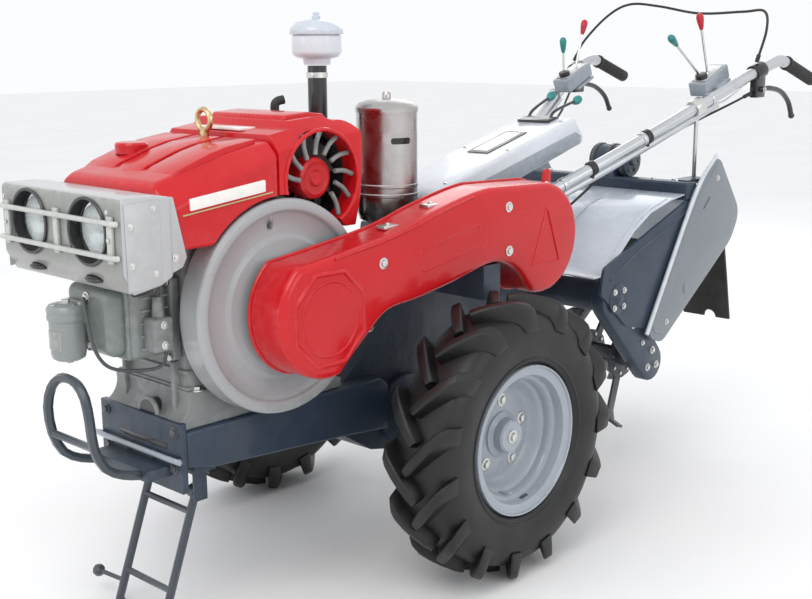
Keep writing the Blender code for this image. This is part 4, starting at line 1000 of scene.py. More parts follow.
def make_hood():
    split = HOOD_SPLIT - 0.0003
    rear = arc(0.262, 0.978, 0.044, 75, 176, 10)
    outline = [(split, HOOD_FOOT), (split, 1.000), (0.392, 1.009), (0.384, 1.024), (0.300, 1.031)]
    outline += rear + [(0.2185, 0.930), (0.224, 0.860), (0.240, HOOD_FOOT)]
    hood = slab("hood", outline, -HOOD_HALF, HOOD_HALF)
    slopes = [shoulder(side, (0.470, 1.001), (0.250, 1.029), 0.034) for side in (1, -1)]
    x, z = centre_of("fan_spin")
    opening = rod("opening", (x, 0.072, z), (x, 1.0, z), FAN_HOLE_R, sides=96)
    hood = cut(hood, *slopes, flywheel_arch("arch"), opening)
    rounded_edges(hood, 0.0060, 4, 22)
    pieces = [hood]
    pieces.append(slab("top_panel", [(0.376, 1.020), (0.370, 1.0335), (0.300, 1.0375),
                                     (0.262, 1.033), (0.250, 1.020)], -0.120, 0.120, 0.005, 3))
    lip = [(FAN_HOLE_R + 0.001 + 0.0045 * cos(a), HOOD_HALF - 0.0005 + 0.0045 * sin(a))
           for a in (2 * pi * k / 10 for k in range(11))]
    ring = turned("lip", lip, x, z, 96)
    arch = flywheel_arch("arch")
    pieces.append(cut(ring, arch))
    finished(pieces, "radiator_hood_shell", RED, ["radiator_hood"])
    dark = [(0.016, 0.0715), (FAN_HOLE_R - 0.0015, 0.0715), (FAN_HOLE_R - 0.0015, 0.0720),
            (FAN_HOLE_R - 0.0015, 0.150), (FAN_HOLE_R - 0.0022, 0.150),
            (FAN_HOLE_R - 0.0030, 0.0745), (0.016, 0.0745), (0.016, 0.0715)]
    backing = cut(turned("dark", dark, x, z, 64), flywheel_arch("arch"))
    finished(backing, "fan_cowl_lining", BLACK_PAINT)
    plate = box("plate", (0.400, -0.075, 1.0035), (0.440, 0.062, 1.0100), 0.0015, 2)
    finished(plate, "hood_top_plate", STRIP)
    elbow = tube("elbow", [(0.240, -0.060, 1.010), (0.242, -0.060, 1.042), (0.236, -0.058, 1.052),
                           (0.222, -0.052, 1.056)], 0.010, 5)
    cap = rod("cap", (0.240, -0.060, 1.008), (0.240, -0.060, 1.020), 0.016, sides=24,
              rounding=0.002)
    finished([elbow, cap], "hood_breather", RUBBER, slot="black_plastic")


FAN_BLADES = 11
FAN_VANES = 13  # of the fixed guard in front of the blades


def fan_blade(turn):
    """A twisted blade that widens outwards."""
    bm = bmesh.new()
    rows = []
    for k in range(6):
        share = k / 5
        r = 0.036 + (0.0905 - 0.036) * share
        half = 0.17 + 0.05 * share
        lean = 0.020 - 0.008 * share
        row = []
        for n in range(5):
            across = -1 + n / 2
            angle = turn + half * across
            y = 0.118 + lean * across - 0.003 * (1 - across * across)
            row.append(bm.verts.new((r * cos(angle), y, r * sin(angle))))
        rows.append(row)
    for low, high in zip(rows, rows[1:]):
        for a, b, c, d in zip(low, low[1:], high[1:], high):
            bm.faces.new((a, b, c, d))
    blade = from_bmesh("blade", bm)
    step = blade.modifiers.new("thick", "SOLIDIFY")
    step.thickness = 0.0022
    step.offset = 0.0
    return applied(blade)


def make_fan():
    x, z = centre_of("fan_spin")
    place = Matrix.Translation((x, 0, z))
    blades = [fan_blade(2 * pi * k / FAN_BLADES) for k in range(FAN_BLADES)]
    blades.append(turned("hoop", [(0.030, 0.098), (0.040, 0.098), (0.040, 0.140), (0.030, 0.140),
                                  (0.030, 0.098)], 0, 0, 64))
    finished(moved(gathered("blades", blades), place), "fan_blades", DARK_STEEL, body="fan")
    hub = [(0.0, 0.0728), (0.012, 0.0728), (0.012, 0.096), (0.036, 0.096), (0.040, 0.128),
           (0.044, 0.132), (0.045, 0.160), (0.042, 0.168), (0.034, 0.1715), (0.030, 0.1690),
           (0.018, 0.1690), (0.014, 0.1735), (0.0, 0.1740)]
    finished(moved(turned("hub", hub, 0, 0, 64), place), "fan_hub", HUB_RED, ["radiator_fan"],
             body="fan")
    guard = []
    crank_x, crank_z = centre_of("crank_spin")
    for k in range(FAN_VANES):
        turn = 2 * pi * k / FAN_VANES
        points = [(x + r * cos(turn + lean), 0.176, z + r * sin(turn + lean))
                  for r, lean in ((0.050, 0.0), (0.075, 0.10), (FAN_HOLE_R - 0.001, 0.22))]
        if hypot(points[-1][0] - crank_x, points[-1][2] - crank_z) > FLYWHEEL_R + 0.010:
            vane = tube("vane", points, 0.0052, 4, 4)
            guard.append(vane)
    finished(guard, "fan_guard", CAST, slot="pale_paint")


# ---------------------------------------------------------------- front of the engine

LAMP_HALF = 0.208
LAMP_FRONT = 0.835
LAMP_Y = 0.102
LAMP_Z = 0.845
LAMP_R = 0.062
HEAD_FRONT = 0.785
FRAME_FRONT = 0.665
EYE_SCALE = 1.35  # the ring stands taller in the picture than its solid
NOTCH_Y = 0.020  # of the dark port over the front plate


def facing_front(name, profile, at, steps=96):
    """A profile of radius and depth, turned round a line along X through a point."""
    place = Matrix.Translation(at) @ Matrix.Rotation(pi / 2, 4, "Y")
    return moved(upright(name, profile, 0, 0, steps), place)


def make_lamp_box():
    back = TANK_FRONT + 0.0003
    outline = [(back, 0.758), (0.752, 0.745), (LAMP_FRONT - 0.022, 0.735), (LAMP_FRONT, 0.775),
               (LAMP_FRONT, 0.904), (LAMP_FRONT - 0.006, 0.913), (0.760, 0.912), (back, 0.907)]
    house = slab("house", outline, -LAMP_HALF, LAMP_HALF, 0.006, 4, 25)
    tools = [rod("hole", (LAMP_FRONT - 0.045, side * LAMP_Y, LAMP_Z),
                 (LAMP_FRONT + 0.1, side * LAMP_Y, LAMP_Z), LAMP_R, sides=96) for side in (1, -1)]
    for side in (1, -1):
        slot = ball("slot", (0.826, side * 0.098, 0.755), 0.022, (0.9, 1.25, 0.36), 32)
        tools.append(slot)
    house = cut(house, *tools)
    pieces = [house]
    for side in (1, -1):
        face = side * LAMP_HALF
        low, high = sorted((face, face + side * 0.0016))
        seam = [(0.752, 0.750), (0.826, 0.742), (0.828, 0.900), (0.752, 0.905)]
        pieces.append(slab("cheek", seam, low, high, 0.0008, 2))
        low, high = sorted((side * 0.1925, side * 0.2025))
        wing = [(0.758, 0.752), (0.700, 0.772), (0.690, 0.790), (0.716, 0.905), (0.758, 0.911)]
        pieces.append(slab("wing", wing, low, high, 0.0018, 2))
    finished(pieces, "lamp_box_shell", LAMP_GREY, ["lamp_box"])
    screws = []
    for side in (1, -1):
        for px, pz in ((0.815, 0.861), (0.815, 0.790), (0.765, 0.889), (0.765, 0.770)):
            screws.append(hex_bolt((px, side * (LAMP_HALF + 0.0015), pz), (0, side, 0), 0.0045))
        for px, pz in ((0.735, 0.888), (0.716, 0.792)):
            screws.append(hex_bolt((px, side * 0.2025, pz), (0, side, 0), 0.0055))
    finished(screws, "lamp_box_screws", STEEL)
    # black ellipsoids set just inside the cut slots: painted shade in the recesses
    slot_shades = []
    for side in (1, -1):
        slot_shade = ball("slot_shade", (0.8235, side * 0.098, 0.754), 0.021, (0.8, 1.25, 0.34), 32)
        slot_shades.append(slot_shade)
    finished(slot_shades, "lamp_box_slot_shades", BLACK_PAINT)


def make_lamps():
    for side, word in both_sides():
        at = (LAMP_FRONT, side * LAMP_Y, LAMP_Z)
        lining = [(0.0, -0.0445), (0.0612, -0.0445), (0.0612, 0.0010), (0.0640, 0.0010),
                  (0.0650, 0.0030), (0.0640, 0.0048), (0.0590, 0.0048), (0.0575, 0.0030),
                  (0.0570, -0.0180), (0.0550, -0.0190), (0.0550, -0.0430), (0.0, -0.0430)]
        finished(facing_front("bezel", lining, at), "headlamp_bezel_" + word, BLACK_PAINT)
        bowl = [(0.0545 * k / 12, -0.0400 + 0.0180 * (k / 12) ** 2) for k in range(13)]
        bowl += [(r, h - 0.0012) for r, h in reversed(bowl[1:])] + [(0.0, -0.0412)]
        bulb = [(0.0, -0.0200), (0.005, -0.0215), (0.0075, -0.0260), (0.0065, -0.0320),
                (0.0065, -0.0400), (0.0, -0.0400)]
        pieces = [facing_front("bowl", bowl, at), facing_front("bulb", bulb, at, 32)]
        finished(pieces, "headlamp_reflector_" + word, REFLECTOR)
        lens = [(0.0, -0.0075)] + [(0.0560 * sin(a), -0.0075 - 0.0085 * (1 - cos(a)) * 2.2)
                                   for a in (pi / 3 * k / 8 for k in range(1, 9))]
        edge = lens[-1]
        lens += [(edge[0], edge[1] - 0.0030)]
        lens += [(r, h - 0.0026) for r, h in reversed(lens[1:-2])] + [(0.0, -0.0101)]
        finished(facing_front("lens", lens, at), "headlamp_lens_" + word, GLASS,
                 ["headlamp_" + word])


def make_lamp_guard():
    pieces = []
    x = LAMP_FRONT + 0.0095
    for z in (0.868, 0.806):
        bar = [(LAMP_FRONT + 0.001, -0.197, z), (x, -0.186, z), (x, 0.0, z), (x, 0.186, z),
               (LAMP_FRONT + 0.001, 0.197, z)]
        pieces.append(tube("bar", bar, 0.0052, 4, 5))
    for y in (-0.180, 0.0, 0.180):
        pieces.append(box("post", (LAMP_FRONT + 0.0005, y - 0.008, 0.794),
                          (x - 0.002, y + 0.008, 0.880), 0.0018))
    finished(pieces, "lamp_guard_bars", GUARD, ["lamp_guard"])
    bolts = [hex_bolt((x - 0.002, y, z), (1, 0, 0), 0.0045, False)
             for y in (-0.180, 0.180) for z in (0.888, 0.837)]
    finished(bolts, "lamp_guard_bolts", STEEL)


def make_fuel_filter():
    x, y = 0.812, -0.030
    can = [(0.0, 0.574), (0.010, 0.574), (0.026, 0.5765), (0.032, 0.581), (0.0342, 0.590),
           (0.0352, 0.654), (0.0375, 0.657), (0.0385, 0.6600), (0.0385, 0.6670), (0.0375, 0.670),
           (0.0385, 0.673), (0.0385, 0.680), (0.034, 0.686), (0.018, 0.690), (0.0, 0.690)]
    arm = box("arm", (HEAD_FRONT, y - 0.013, 0.6595), (x, y + 0.013, 0.680), 0.004)
    pieces = [upright("can", can, x, y, 96), arm]
    pieces.append(box("saddle", (HEAD_FRONT + 0.0004, y - 0.030, 0.650),
                      (HEAD_FRONT + 0.012, y + 0.030, 0.692), 0.003))
    finished(pieces, "fuel_filter_can", FILTER_GREY, ["fuel_filter"])
    bolts = [hex_bolt((x, y, 0.5755), (0, 0, -1), 0.008), hex_bolt((x, y, 0.689), (0, 0, 1), 0.009),
             hex_bolt((x + 0.026, y, 0.686), (0.3, 0, 1), 0.006, False),
             hex_bolt((x - 0.004, y + 0.026, 0.684), (0, 0.5, 1), 0.006, False),
             hex_bolt((HEAD_FRONT + 0.012, y + 0.022, 0.684), (1, 0, 0), 0.0055)]
    finished(bolts, "fuel_filter_bolts", STEEL)
    label = [(0.0356 + lift, z) for lift, z in ((0.0, 0.600), (0.0005, 0.6005), (0.0005, 0.6365),
                                                (0.0, 0.637), (-0.0015, 0.6365), (-0.0015, 0.6005),
                                                (0.0, 0.600))]
    wrap = upright("label", label, x, y, 96)
    keep = box("keep", (x + 0.008, y - 0.024, 0.59), (x + 0.05, y + 0.020, 0.65))
    booleaned(wrap, [keep], "INTERSECT")
    finished(wrap, "fuel_filter_label", LAMP_GREY)


def make_head():
    """The cylinder head with its glossy rocker cover, its flange and its ribs."""
    flange = box("flange", (0.6405, -0.106, 0.566), (0.664, 0.106, 0.7330), 0.006, 4)
    body = box("body", (0.660, -0.094, 0.578), (0.748, 0.094, 0.727), 0.016, 5)
    pieces = [flange, body]
    for z in (0.600, 0.625, 0.650, 0.675, 0.700):
        pieces.append(box("rib", (0.664, -0.0985, z - 0.0028), (0.728, 0.0985, z + 0.0028), 0.0018))
    pieces.append(box("pump", (0.676, 0.090, 0.596), (0.722, 0.132, 0.664), 0.007))
    pieces.append(rod("union", (0.699, 0.112, 0.660), (0.699, 0.112, 0.704), 0.013, 0.009, 32,
                      0.002))
    finished(pieces, "cylinder_head_casting", CAST, ["cylinder_head"])
    cover = box("cover", (0.738, -0.078, 0.586), (HEAD_FRONT, 0.078, 0.722), 0.021, 6)
    rim = box("rim", (0.742, -0.086, 0.5795), (0.753, 0.086, 0.7265), 0.005)
    finished([cover, rim], "rocker_cover", GREEN_CAST)
    bolts = [hex_bolt((HEAD_FRONT - 0.0005, y, z), (1, 0, 0), 0.0075)
             for y, z in ((0.0, 0.700), (0.0, 0.604))]
    bolts += [hex_bolt((0.664, y, z), (1, 0, 0), 0.008, False)
              for y in (-0.099, 0.099) for z in (0.574, 0.725)]
    bolts += [hex_bolt((0.699, 0.132, z), (0, 1, 0), 0.006) for z in (0.610, 0.650)]
    finished(bolts, "cylinder_head_bolts", STEEL)
    pipes = [tube("feed", [(0.699, 0.112, 0.700), (0.699, 0.116, 0.722), (0.715, 0.108, 0.734),
                           (0.745, 0.080, 0.733), (0.760, 0.060, 0.718)], 0.0032, 6)]
    pipes.append(tube("return", [(0.786, -0.002, 0.690), (0.800, 0.014, 0.700),
                                 (0.806, 0.030, 0.670), (0.800, 0.040, 0.610),
                                 (0.780, 0.052, 0.570), (0.740, 0.070, 0.556),
                                 (0.690, 0.100, 0.560), (0.680, 0.112, 0.598)], 0.0036, 6))
    finished(pipes, "fuel_pipes", DARK_STEEL)
    hose = [tube("hose", [(0.716, 0.150, 0.800), (0.722, 0.158, 0.765), (0.742, 0.150, 0.730),
                          (0.752, 0.120, 0.718), (0.740, 0.096, 0.715)], 0.0065, 6)]
    finished(hose, "fuel_hose", RUBBER)


def make_block():
    """The crankcase with its curved foot, ribs and inspection plates."""
    x_low, x_high, half = 0.250, 0.640, 0.120
    block = box("block", (x_low, -half, 0.430), (x_high, half, 0.7995), 0.018, 5)
    foot = [(x_low - 0.02, 0.4255), (FRAME_FRONT + 0.004, 0.4255), (FRAME_FRONT + 0.004, 0.440)]
    foot += [(x, z) for x, z in reversed(arc(FRAME_FRONT + 0.026, 0.486, 0.046, 158, 250, 10))]
    foot = foot[:3] + sorted(foot[3:], key=lambda p: p[1]) + [(0.600, 0.500), (0.300, 0.500),
                                                              (0.262, 0.460), (x_low - 0.02, 0.447)]
    pieces = [block]
    for side in (1, -1):
        low, high = sorted((side * 0.050, side * 0.128))
        pieces.append(slab("foot", foot, low, high, 0.006, 3, 25))
    pieces.append(slab("foot", foot, -0.052, 0.052, 0.0))
    pieces.append(rod("bearing", (0.446, 0.10, 0.654), (0.446, 0.1282, 0.654), 0.055, sides=64))
    pieces.append(box("sump", (0.270, -0.090, 0.350), (0.490, 0.090, 0.440), 0.010))
    for z in (0.470, 0.505, 0.540):
        pieces.append(box("rib", (0.560, -0.122, z - 0.004), (0.6445, 0.122, z + 0.004), 0.003))
    for y in (-0.085, 0.085):
        pieces.append(box("web", (0.600, y - 0.006, 0.440), (0.655, y + 0.006, 0.560), 0.004))
    pieces.append(box("window", (0.340, -0.100, 0.796), (0.600, 0.100, 0.7996)))
    rim = [(0.6685, NOTCH_Y + 0.030 * cos(radians(a)), 0.4455 + 0.030 * sin(radians(a)))
           for a in range(0, 181, 15)]
    pieces.append(tube("rim", rim, 0.0050, 1, 4))
    # a black half-disc in the port: painted shade in place of a hole
    notch = rod("notch", (0.60, NOTCH_Y, 0.4455), (0.75, NOTCH_Y, 0.4455), 0.028, sides=48)
    body = gathered("block", pieces)
    finished(body, "engine_block_casting", CAST, ["engine_block"])
    finished(notch_shade(notch), "engine_foot_notch_shade", BLACK_PAINT)
    plate = slab("plate", rounded([(0.290, 0.520, 0.02), (0.290, 0.640, 0.02), (0.380, 0.640, 0.02),
                                   (0.380, 0.520, 0.02)]), 0.1195, 0.1240, 0.002)
    finished(plate, "crankcase_side_plate", FOOT_CAST)
    bolts = []
    for px in (0.285, 0.620):
        for side in (1, -1):
            pz = 0.4475 if px < 0.3 else 0.500
            bolts.append(hex_bolt((px, side * 0.118, pz), (0, 0, 1), 0.011))
    finished(bolts, "engine_foot_bolts", STEEL)


def notch_shade(tool):
    """The dark half-round opening over the front plate, drawn as a black solid: its dark is painted shade."""
    keep = box("keep", (0.640, -0.1, 0.4458), (FRAME_FRONT + 0.0070, 0.1, 0.60))
    booleaned(tool, [keep], "INTERSECT")
    return tool


def make_front_plate():
    plate = refined("front_plate", BLUE_CAST, 0.0025, 3, keep=True)
    # the flange bar's pale colour, lighter than the plate's blue, is a painted highlight along its edge
    bar = tube("bar", [(0.684, -0.138, 0.370), (0.690, -0.125, 0.371), (0.690, 0.125, 0.371),
                       (0.684, 0.138, 0.370)], 0.0060, 3)
    plate = gathered("plate", [plate])
    finished(plate, "front_plate_casting", BLUE_CAST, ["front_plate"])
    finished(bar, "front_plate_bar_highlight", RIM)
    # a thin black patch standing for the slot: painted shade
    slot = box("slot", (0.6785, -0.070, 0.384), (0.6800, 0.092, 0.396), 0.0006, 2)
    finished(slot, "front_plate_slot_shade", BLACK_PAINT)
    bolts = [hex_bolt((0.679, y, z), (1, 0, 0), 0.0085)
             for y, z in ((-0.115, 0.350), (0.115, 0.350), (-0.120, 0.425), (0.120, 0.425),
                          (0.045, 0.362), (-0.045, 0.362), (0.0, 0.316))]
    finished(bolts, "front_plate_bolts", DARK_STEEL)


def make_lifting_eye():
    eye = refined("lifting_eye", BRASS, 0.0008, keep=True)
    low, high = node_box("lifting_eye")
    foot = Vector(((low.x + high.x) / 2, (low.y + high.y) / 2, low.z))
    moved(eye, Matrix.Translation(foot) @ Matrix.Scale(EYE_SCALE, 4) @ Matrix.Translation(-foot))
    finished(eye, "lifting_eye_ring", BRASS, ["lifting_eye"])


# ---------------------------------------------------------------- exhaust and air cleaner

MUFFLER = (0.040, 0.092)
CLEANER = (0.130, -0.040)


def make_muffler():
    x, y = MUFFLER
    profile = [(0, 0.774), (0.048, 0.774), (0.064, 0.783), (0.0695, 0.800), (0.0695, 0.836),
               (0.0712, 0.838), (0.0712, 0.843), (0.0695, 0.845), (0.0695, 0.857),
               (0.0712, 0.859), (0.0712, 0.864), (0.0695, 0.866), (0.0695, 1.024),
               (0.0715, 1.027), (0.0715, 1.037), (0.064, 1.046), (0.040, 1.053), (0.010, 1.056),
               (0.010, 1.066), (0.007, 1.071), (0, 1.071)]
    can = upright("can", profile, x, y, 96)
    slot = box("slot", (x - 0.003, y + 0.045, 0.957), (x + 0.043, y + 0.120, 0.971), 0.005, 3)
    can = cut(can, slot)
    pipe = tube("pipe", [(0.250, 0.075, 0.700), (0.180, 0.078, 0.700), (0.080, 0.088, 0.704),
                         (0.046, 0.092, 0.728), (0.044, 0.092, 0.780)], 0.0178, 8)
    collar = upright("collar", [(0.018, 0.748), (0.025, 0.750), (0.025, 0.764), (0.018, 0.766)],
                     0.044, y, 48)
    finished([can], "muffler_can", STAINLESS, ["muffler"])
    lining = upright("lining", [(0.058, 0.945), (0.058, 0.985)], x, y, 64)
    finished(lining, "muffler_lining", BLACK_PAINT)
    finished([pipe, collar], "exhaust_pipe", DARK_STEEL)


def make_air_cleaner():
    x, y = CLEANER
    body = upright("body", [(0, 0.655), (0.046, 0.655), (0.052, 0.662), (0.052, 0.690),
                            (0.0535, 0.692), (0.0535, 0.700), (0.052, 0.702), (0.052, 0.835),
                            (0.0535, 0.837), (0.0535, 0.845), (0.052, 0.847), (0.048, 0.860),
                            (0.022, 0.868), (0.022, 1.129), (0, 1.129)], x, y, 72)
    neck = rod("neck", (x, y, 0.735), (0.250, y, 0.735), 0.0238)
    finished([body, neck], "air_cleaner_body", BLACK_PAINT, ["air_cleaner"])
    clamps = []
    for z in (1.108, 0.905):
        clamps.append(upright("clamp", [(0.0222, z - 0.006), (0.0245, z - 0.006),
                                        (0.0245, z + 0.006), (0.0222, z + 0.006)], x, y, 48))
        clamps.append(box("lug", (x + 0.020, y + 0.010, z - 0.005),
                          (x + 0.031, y + 0.017, z + 0.005), 0.001, 2))
        clamps.append(rod("screw", (x + 0.026, y + 0.004, z), (x + 0.026, y + 0.022, z), 0.0022,
                          sides=12))
    finished(clamps, "air_cleaner_clamps", STEEL)


def make_pre_cleaner():
    x, y = CLEANER
    bowl = upright("bowl", [(0, 1.1305), (0.030, 1.1305), (0.032, 1.144), (0.048, 1.148),
                            (0.055, 1.155), (0.0565, 1.160), (0.0560, 1.194), (0.052, 1.198)],
                   x, y, 96)
    finished(bowl, "pre_cleaner_bowl", CONSOLE_WHITE, ["pre_cleaner"])
    cap = upright("cap", [(0.048, 1.1965), (0.0595, 1.1985), (0.0610, 1.204), (0.0590, 1.212),
                          (0.046, 1.225), (0.018, 1.2315), (0, 1.2325)], x, y, 96)
    stud = upright("stud", [(0, 1.231), (0.010, 1.231), (0.010, 1.238), (0.0075, 1.240),
                            (0.0075, 1.246), (0.005, 1.248), (0, 1.248)], x, y, 32)
    ribs = []
    for k in range(18):
        turn = 2 * pi * k / 18
        ribs.append(box("rib", (0.0555, -0.0016, 1.1985), (0.0606, 0.0016, 1.2075)))
        moved(ribs[-1], Matrix.Translation((x, y, 0)) @ Matrix.Rotation(turn, 4, "Z"))
    finished([cap, stud] + ribs, "pre_cleaner_cap", SILVER)


# ---------------------------------------------------------------- handles and controls

BAR = ((-0.5065, 0.100, 0.772), (-0.600, 0.125, 0.806), (-0.900, 0.215, 0.932),
       (-1.200, 0.305, 1.066), (-1.320, 0.330, 1.108), (-1.380, 0.334, 1.120),
       (-1.415, 0.3355, 1.114))
BAR_R = 0.017
GRIP_END = (-1.587, 0.341, 1.059)
LEVER_X = -1.272
BOX_X = -1.140


def on_side(side, points):
    return [(x, side * y, z) for x, y, z in points]


def along_bar(x):
    """The point on the left bar's middle line at x."""
    for (xa, ya, za), (xb, yb, zb) in zip(BAR, BAR[1:]):
        if xb <= x <= xa:
            t = (x - xa) / (xb - xa)
            return Vector((x, ya + (yb - ya) * t, za + (zb - za) * t))
    return Vector(BAR[-1])


def bar_way(x):
    return (along_bar(x - 0.02) - along_bar(x + 0.02)).normalized()


def make_handlebars():
    for side, word in both_sides():
        bar = tube("bar", on_side(side, BAR), BAR_R - 0.0003, 8, 8)
        pieces = [bar]
        lower = []
        for x in (-0.560, -0.700, -0.850, -1.000, -1.120):
            at = along_bar(x)
            lower.append((at.x, side * (at.y - 0.004), at.z - 0.029))
        pieces.append(tube("lower", lower, 0.0115, 8, 5))
        for x in (-0.600, -0.860, -1.095):
            at = along_bar(x)
            at.y *= side
            way = bar_way(x)
            way.y *= side
            pieces.append(rod("band", at - way * 0.008, at + way * 0.008, BAR_R + 0.0022,
                              sides=40, rounding=0.0008))
        finished(pieces, f"handlebar_{word}_tube", TUBE_STEEL, [f"handlebar_{word}"])
        clips = []
        for x in (-0.872, -0.690):
            at = along_bar(x)
            at.y *= side
            way = bar_way(x)
            way.y *= side
            clips.append(rod("clip", at - way * 0.009, at + way * 0.009, BAR_R + 0.0035,
                             sides=40, rounding=0.0012))
            clips.append(ball("knot", (at.x, at.y, at.z - 0.022), 0.009))
        finished(clips, f"handlebar_{word}_clips", BLACK)


def make_grips():
    for side, word in both_sides():
        start = Vector(on_side(side, [BAR[-1]])[0])
        end = Vector(on_side(side, [GRIP_END])[0])
        way = (end - start).normalized()
        length = (end - start).length
        count = 17
        profile = [(0, 0.0), (0.0205, 0.0), (0.0215, 0.003), (0.0215, 0.009)]
        for k in range(count):
            low = 0.012 + (length - 0.028) * k / count
            high = 0.012 + (length - 0.028) * (k + 0.62) / count
            profile += [(0.0172, low), (0.0189, low + 0.0012), (0.0189, high - 0.0012),
                        (0.0172, high)]
        profile += [(0.0189, length - 0.013), (0.0189, length - 0.006), (0.0150, length),
                    (0, length)]
        grip = spun("grip", profile, (0, 0, 0), "Z", 48)
        moved(grip, Matrix.Translation(start) @ turn_to(way))
        finished(grip, f"grip_{word}_sleeve", RUBBER, [f"grip_{word}"])


def make_clutch_levers():
    for side, word in both_sides():
        collar_at = along_bar(LEVER_X)
        collar_at.y *= side
        way = bar_way(LEVER_X)
        way.y *= side
        pieces = [rod("collar", collar_at - way * 0.022, collar_at + way * 0.022, BAR_R + 0.007,
                      sides=48, rounding=0.002)]
        block = box("block", (LEVER_X - 0.032, -0.012, -0.075), (LEVER_X + 0.020, 0.012, 0.0),
                    0.004, 3)
        moved(block, Matrix.Translation((0, collar_at.y, collar_at.z)))
        pieces.append(block)
        arm = on_side(side, [(-1.262, 0.324, 1.062), (-1.276, 0.3245, 1.040),
                             (-1.330, 0.330, 1.042), (-1.400, 0.332, 1.030),
                             (-1.455, 0.331, 0.998), (-1.484, 0.330, 0.955)])
        lever = tube("lever", arm, 0.0078, 8, 5)
        pieces.append(lever)
        pieces.append(ball("tip", arm[-1], 0.0095))
        pieces.append(rod("pivot", (-1.276, side * 0.306, 1.040), (-1.276, side * 0.343, 1.040),
                          0.0085, sides=24, rounding=0.001))
        obj = gathered("lever", pieces)
        finished(obj, f"clutch_lever_{word}_hand", BLACK_PAINT, [f"clutch_lever_{word}"])
        nut = hex_bolt((-1.276, side * 0.343, 1.040), (0, side, 0), 0.0062)
        finished(nut, f"clutch_lever_{word}_nut", STEEL)


def make_controls():
    levers = {
        "left": (((-1.130, 0.0), (-1.080, 1.225), RED_KNOB),
                 ((-1.100, -0.01), (-0.960, 1.175), GREEN_KNOB)),
        "right": (((-1.150, 0.0), (-1.190, 1.215), RED_KNOB),
                  ((-1.105, 0.01), (-1.100, 1.160), GREEN_KNOB)),
    }
    for side, word in both_sides():
        at = along_bar(BOX_X)
        middle_y = side * (at.y - 0.048)
        way = bar_way(BOX_X)
        tilt = Matrix.Rotation(atan2(way.z, -way.x), 4, "Y")
        place = Matrix.Translation((BOX_X, middle_y, at.z + 0.030)) @ tilt
        case = box("case", (-0.066, -0.029, -0.022), (0.066, 0.029, 0.020), 0.005, 4)
        plate = box("plate", (-0.066, -0.026, -0.034), (0.020, 0.030, -0.024), 0.002, 2)
        inner, outer = sorted((0.0, side * 0.048))
        foot = box("foot", (-0.030, inner, -0.022), (0.030, outer, -0.008), 0.003, 2)
        finished(moved(gathered("case", [case, plate, foot]), place), f"controls_{word}_case",
                 SIDE_SHADE_AND_CASE_GREY, [f"controls_{word}"])
        lid = box("lid", (-0.050, -0.022, 0.0195), (0.052, 0.022, 0.0225), 0.001, 2)
        finished(moved(lid, place), f"controls_{word}_lid", LAMP_GREY)
        drum = rod("drum", (0.036, 0.0, 0.022), (0.036, 0.0, 0.036), 0.017, sides=48,
                   rounding=0.003)
        finished(moved(drum, place), f"controls_{word}_drum", BLACK)
        stems = []
        for (foot_x, shift), (top_x, top_z), surface in levers[word]:
            base = Vector((foot_x, middle_y + side * shift, at.z + 0.046))
            tip = Vector((top_x, middle_y + side * shift, top_z))
            line = (tip - base).normalized()
            stems.append(rod("stem", base, tip - line * 0.015, 0.0037, sides=16))
            stems.append(ball("root", base, 0.0085))
            colour = "red" if surface is RED_KNOB else "green"
            knob = spun("knob", [(0, -0.016), (0.0045, -0.016), (0.0070, -0.008),
                                 (0.0100, 0.010), (0.0108, 0.020), (0.0085, 0.028),
                                 (0.0040, 0.032), (0, 0.0325)], (0, 0, 0), "Z", 32)
            moved(knob, Matrix.Translation(tip) @ turn_to(line))
            finished(knob, f"control_knob_{colour}_{word}", surface)
        finished(stems, f"controls_{word}_stems", STEEL)


def make_gear_levers():
    stems = []
    for foot_y, top in ((-0.045, (-0.770, 1.030)), (0.030, (-0.790, 1.020))):
        base = Vector((-0.662, foot_y, 0.962))
        tip = Vector((top[0], foot_y, top[1]))
        stems.append(tube("stem", [base, base + Vector((-0.020, 0, 0.030)), tip], 0.0042, 8, 4))
        stems.append(ball("root", base, 0.012, (1, 1, 0.8)))
        line = (tip - base).normalized()
        knob = spun("knob", [(0, -0.010), (0.0060, -0.010), (0.0110, 0.0), (0.0125, 0.009),
                             (0.0110, 0.017), (0.0060, 0.022), (0, 0.0235)], (0, 0, 0), "Z", 32)
        moved(knob, Matrix.Translation(tip - line * 0.010) @ turn_to(line))
        word = "left" if foot_y > 0 else "right"
        finished(knob, f"gear_knob_{word}", GREEN_KNOB)
    plate = refined("gear_levers", BLACK_PAINT, 0.0008, keep=True)
    only = box("only", (-0.72, -0.12, 0.90), (-0.60, 0.12, 0.978))
    plate = booleaned(plate, [only], "INTERSECT")
    finished([plate] + stems, "gear_lever_stems", BLACK_PAINT, ["gear_levers"])


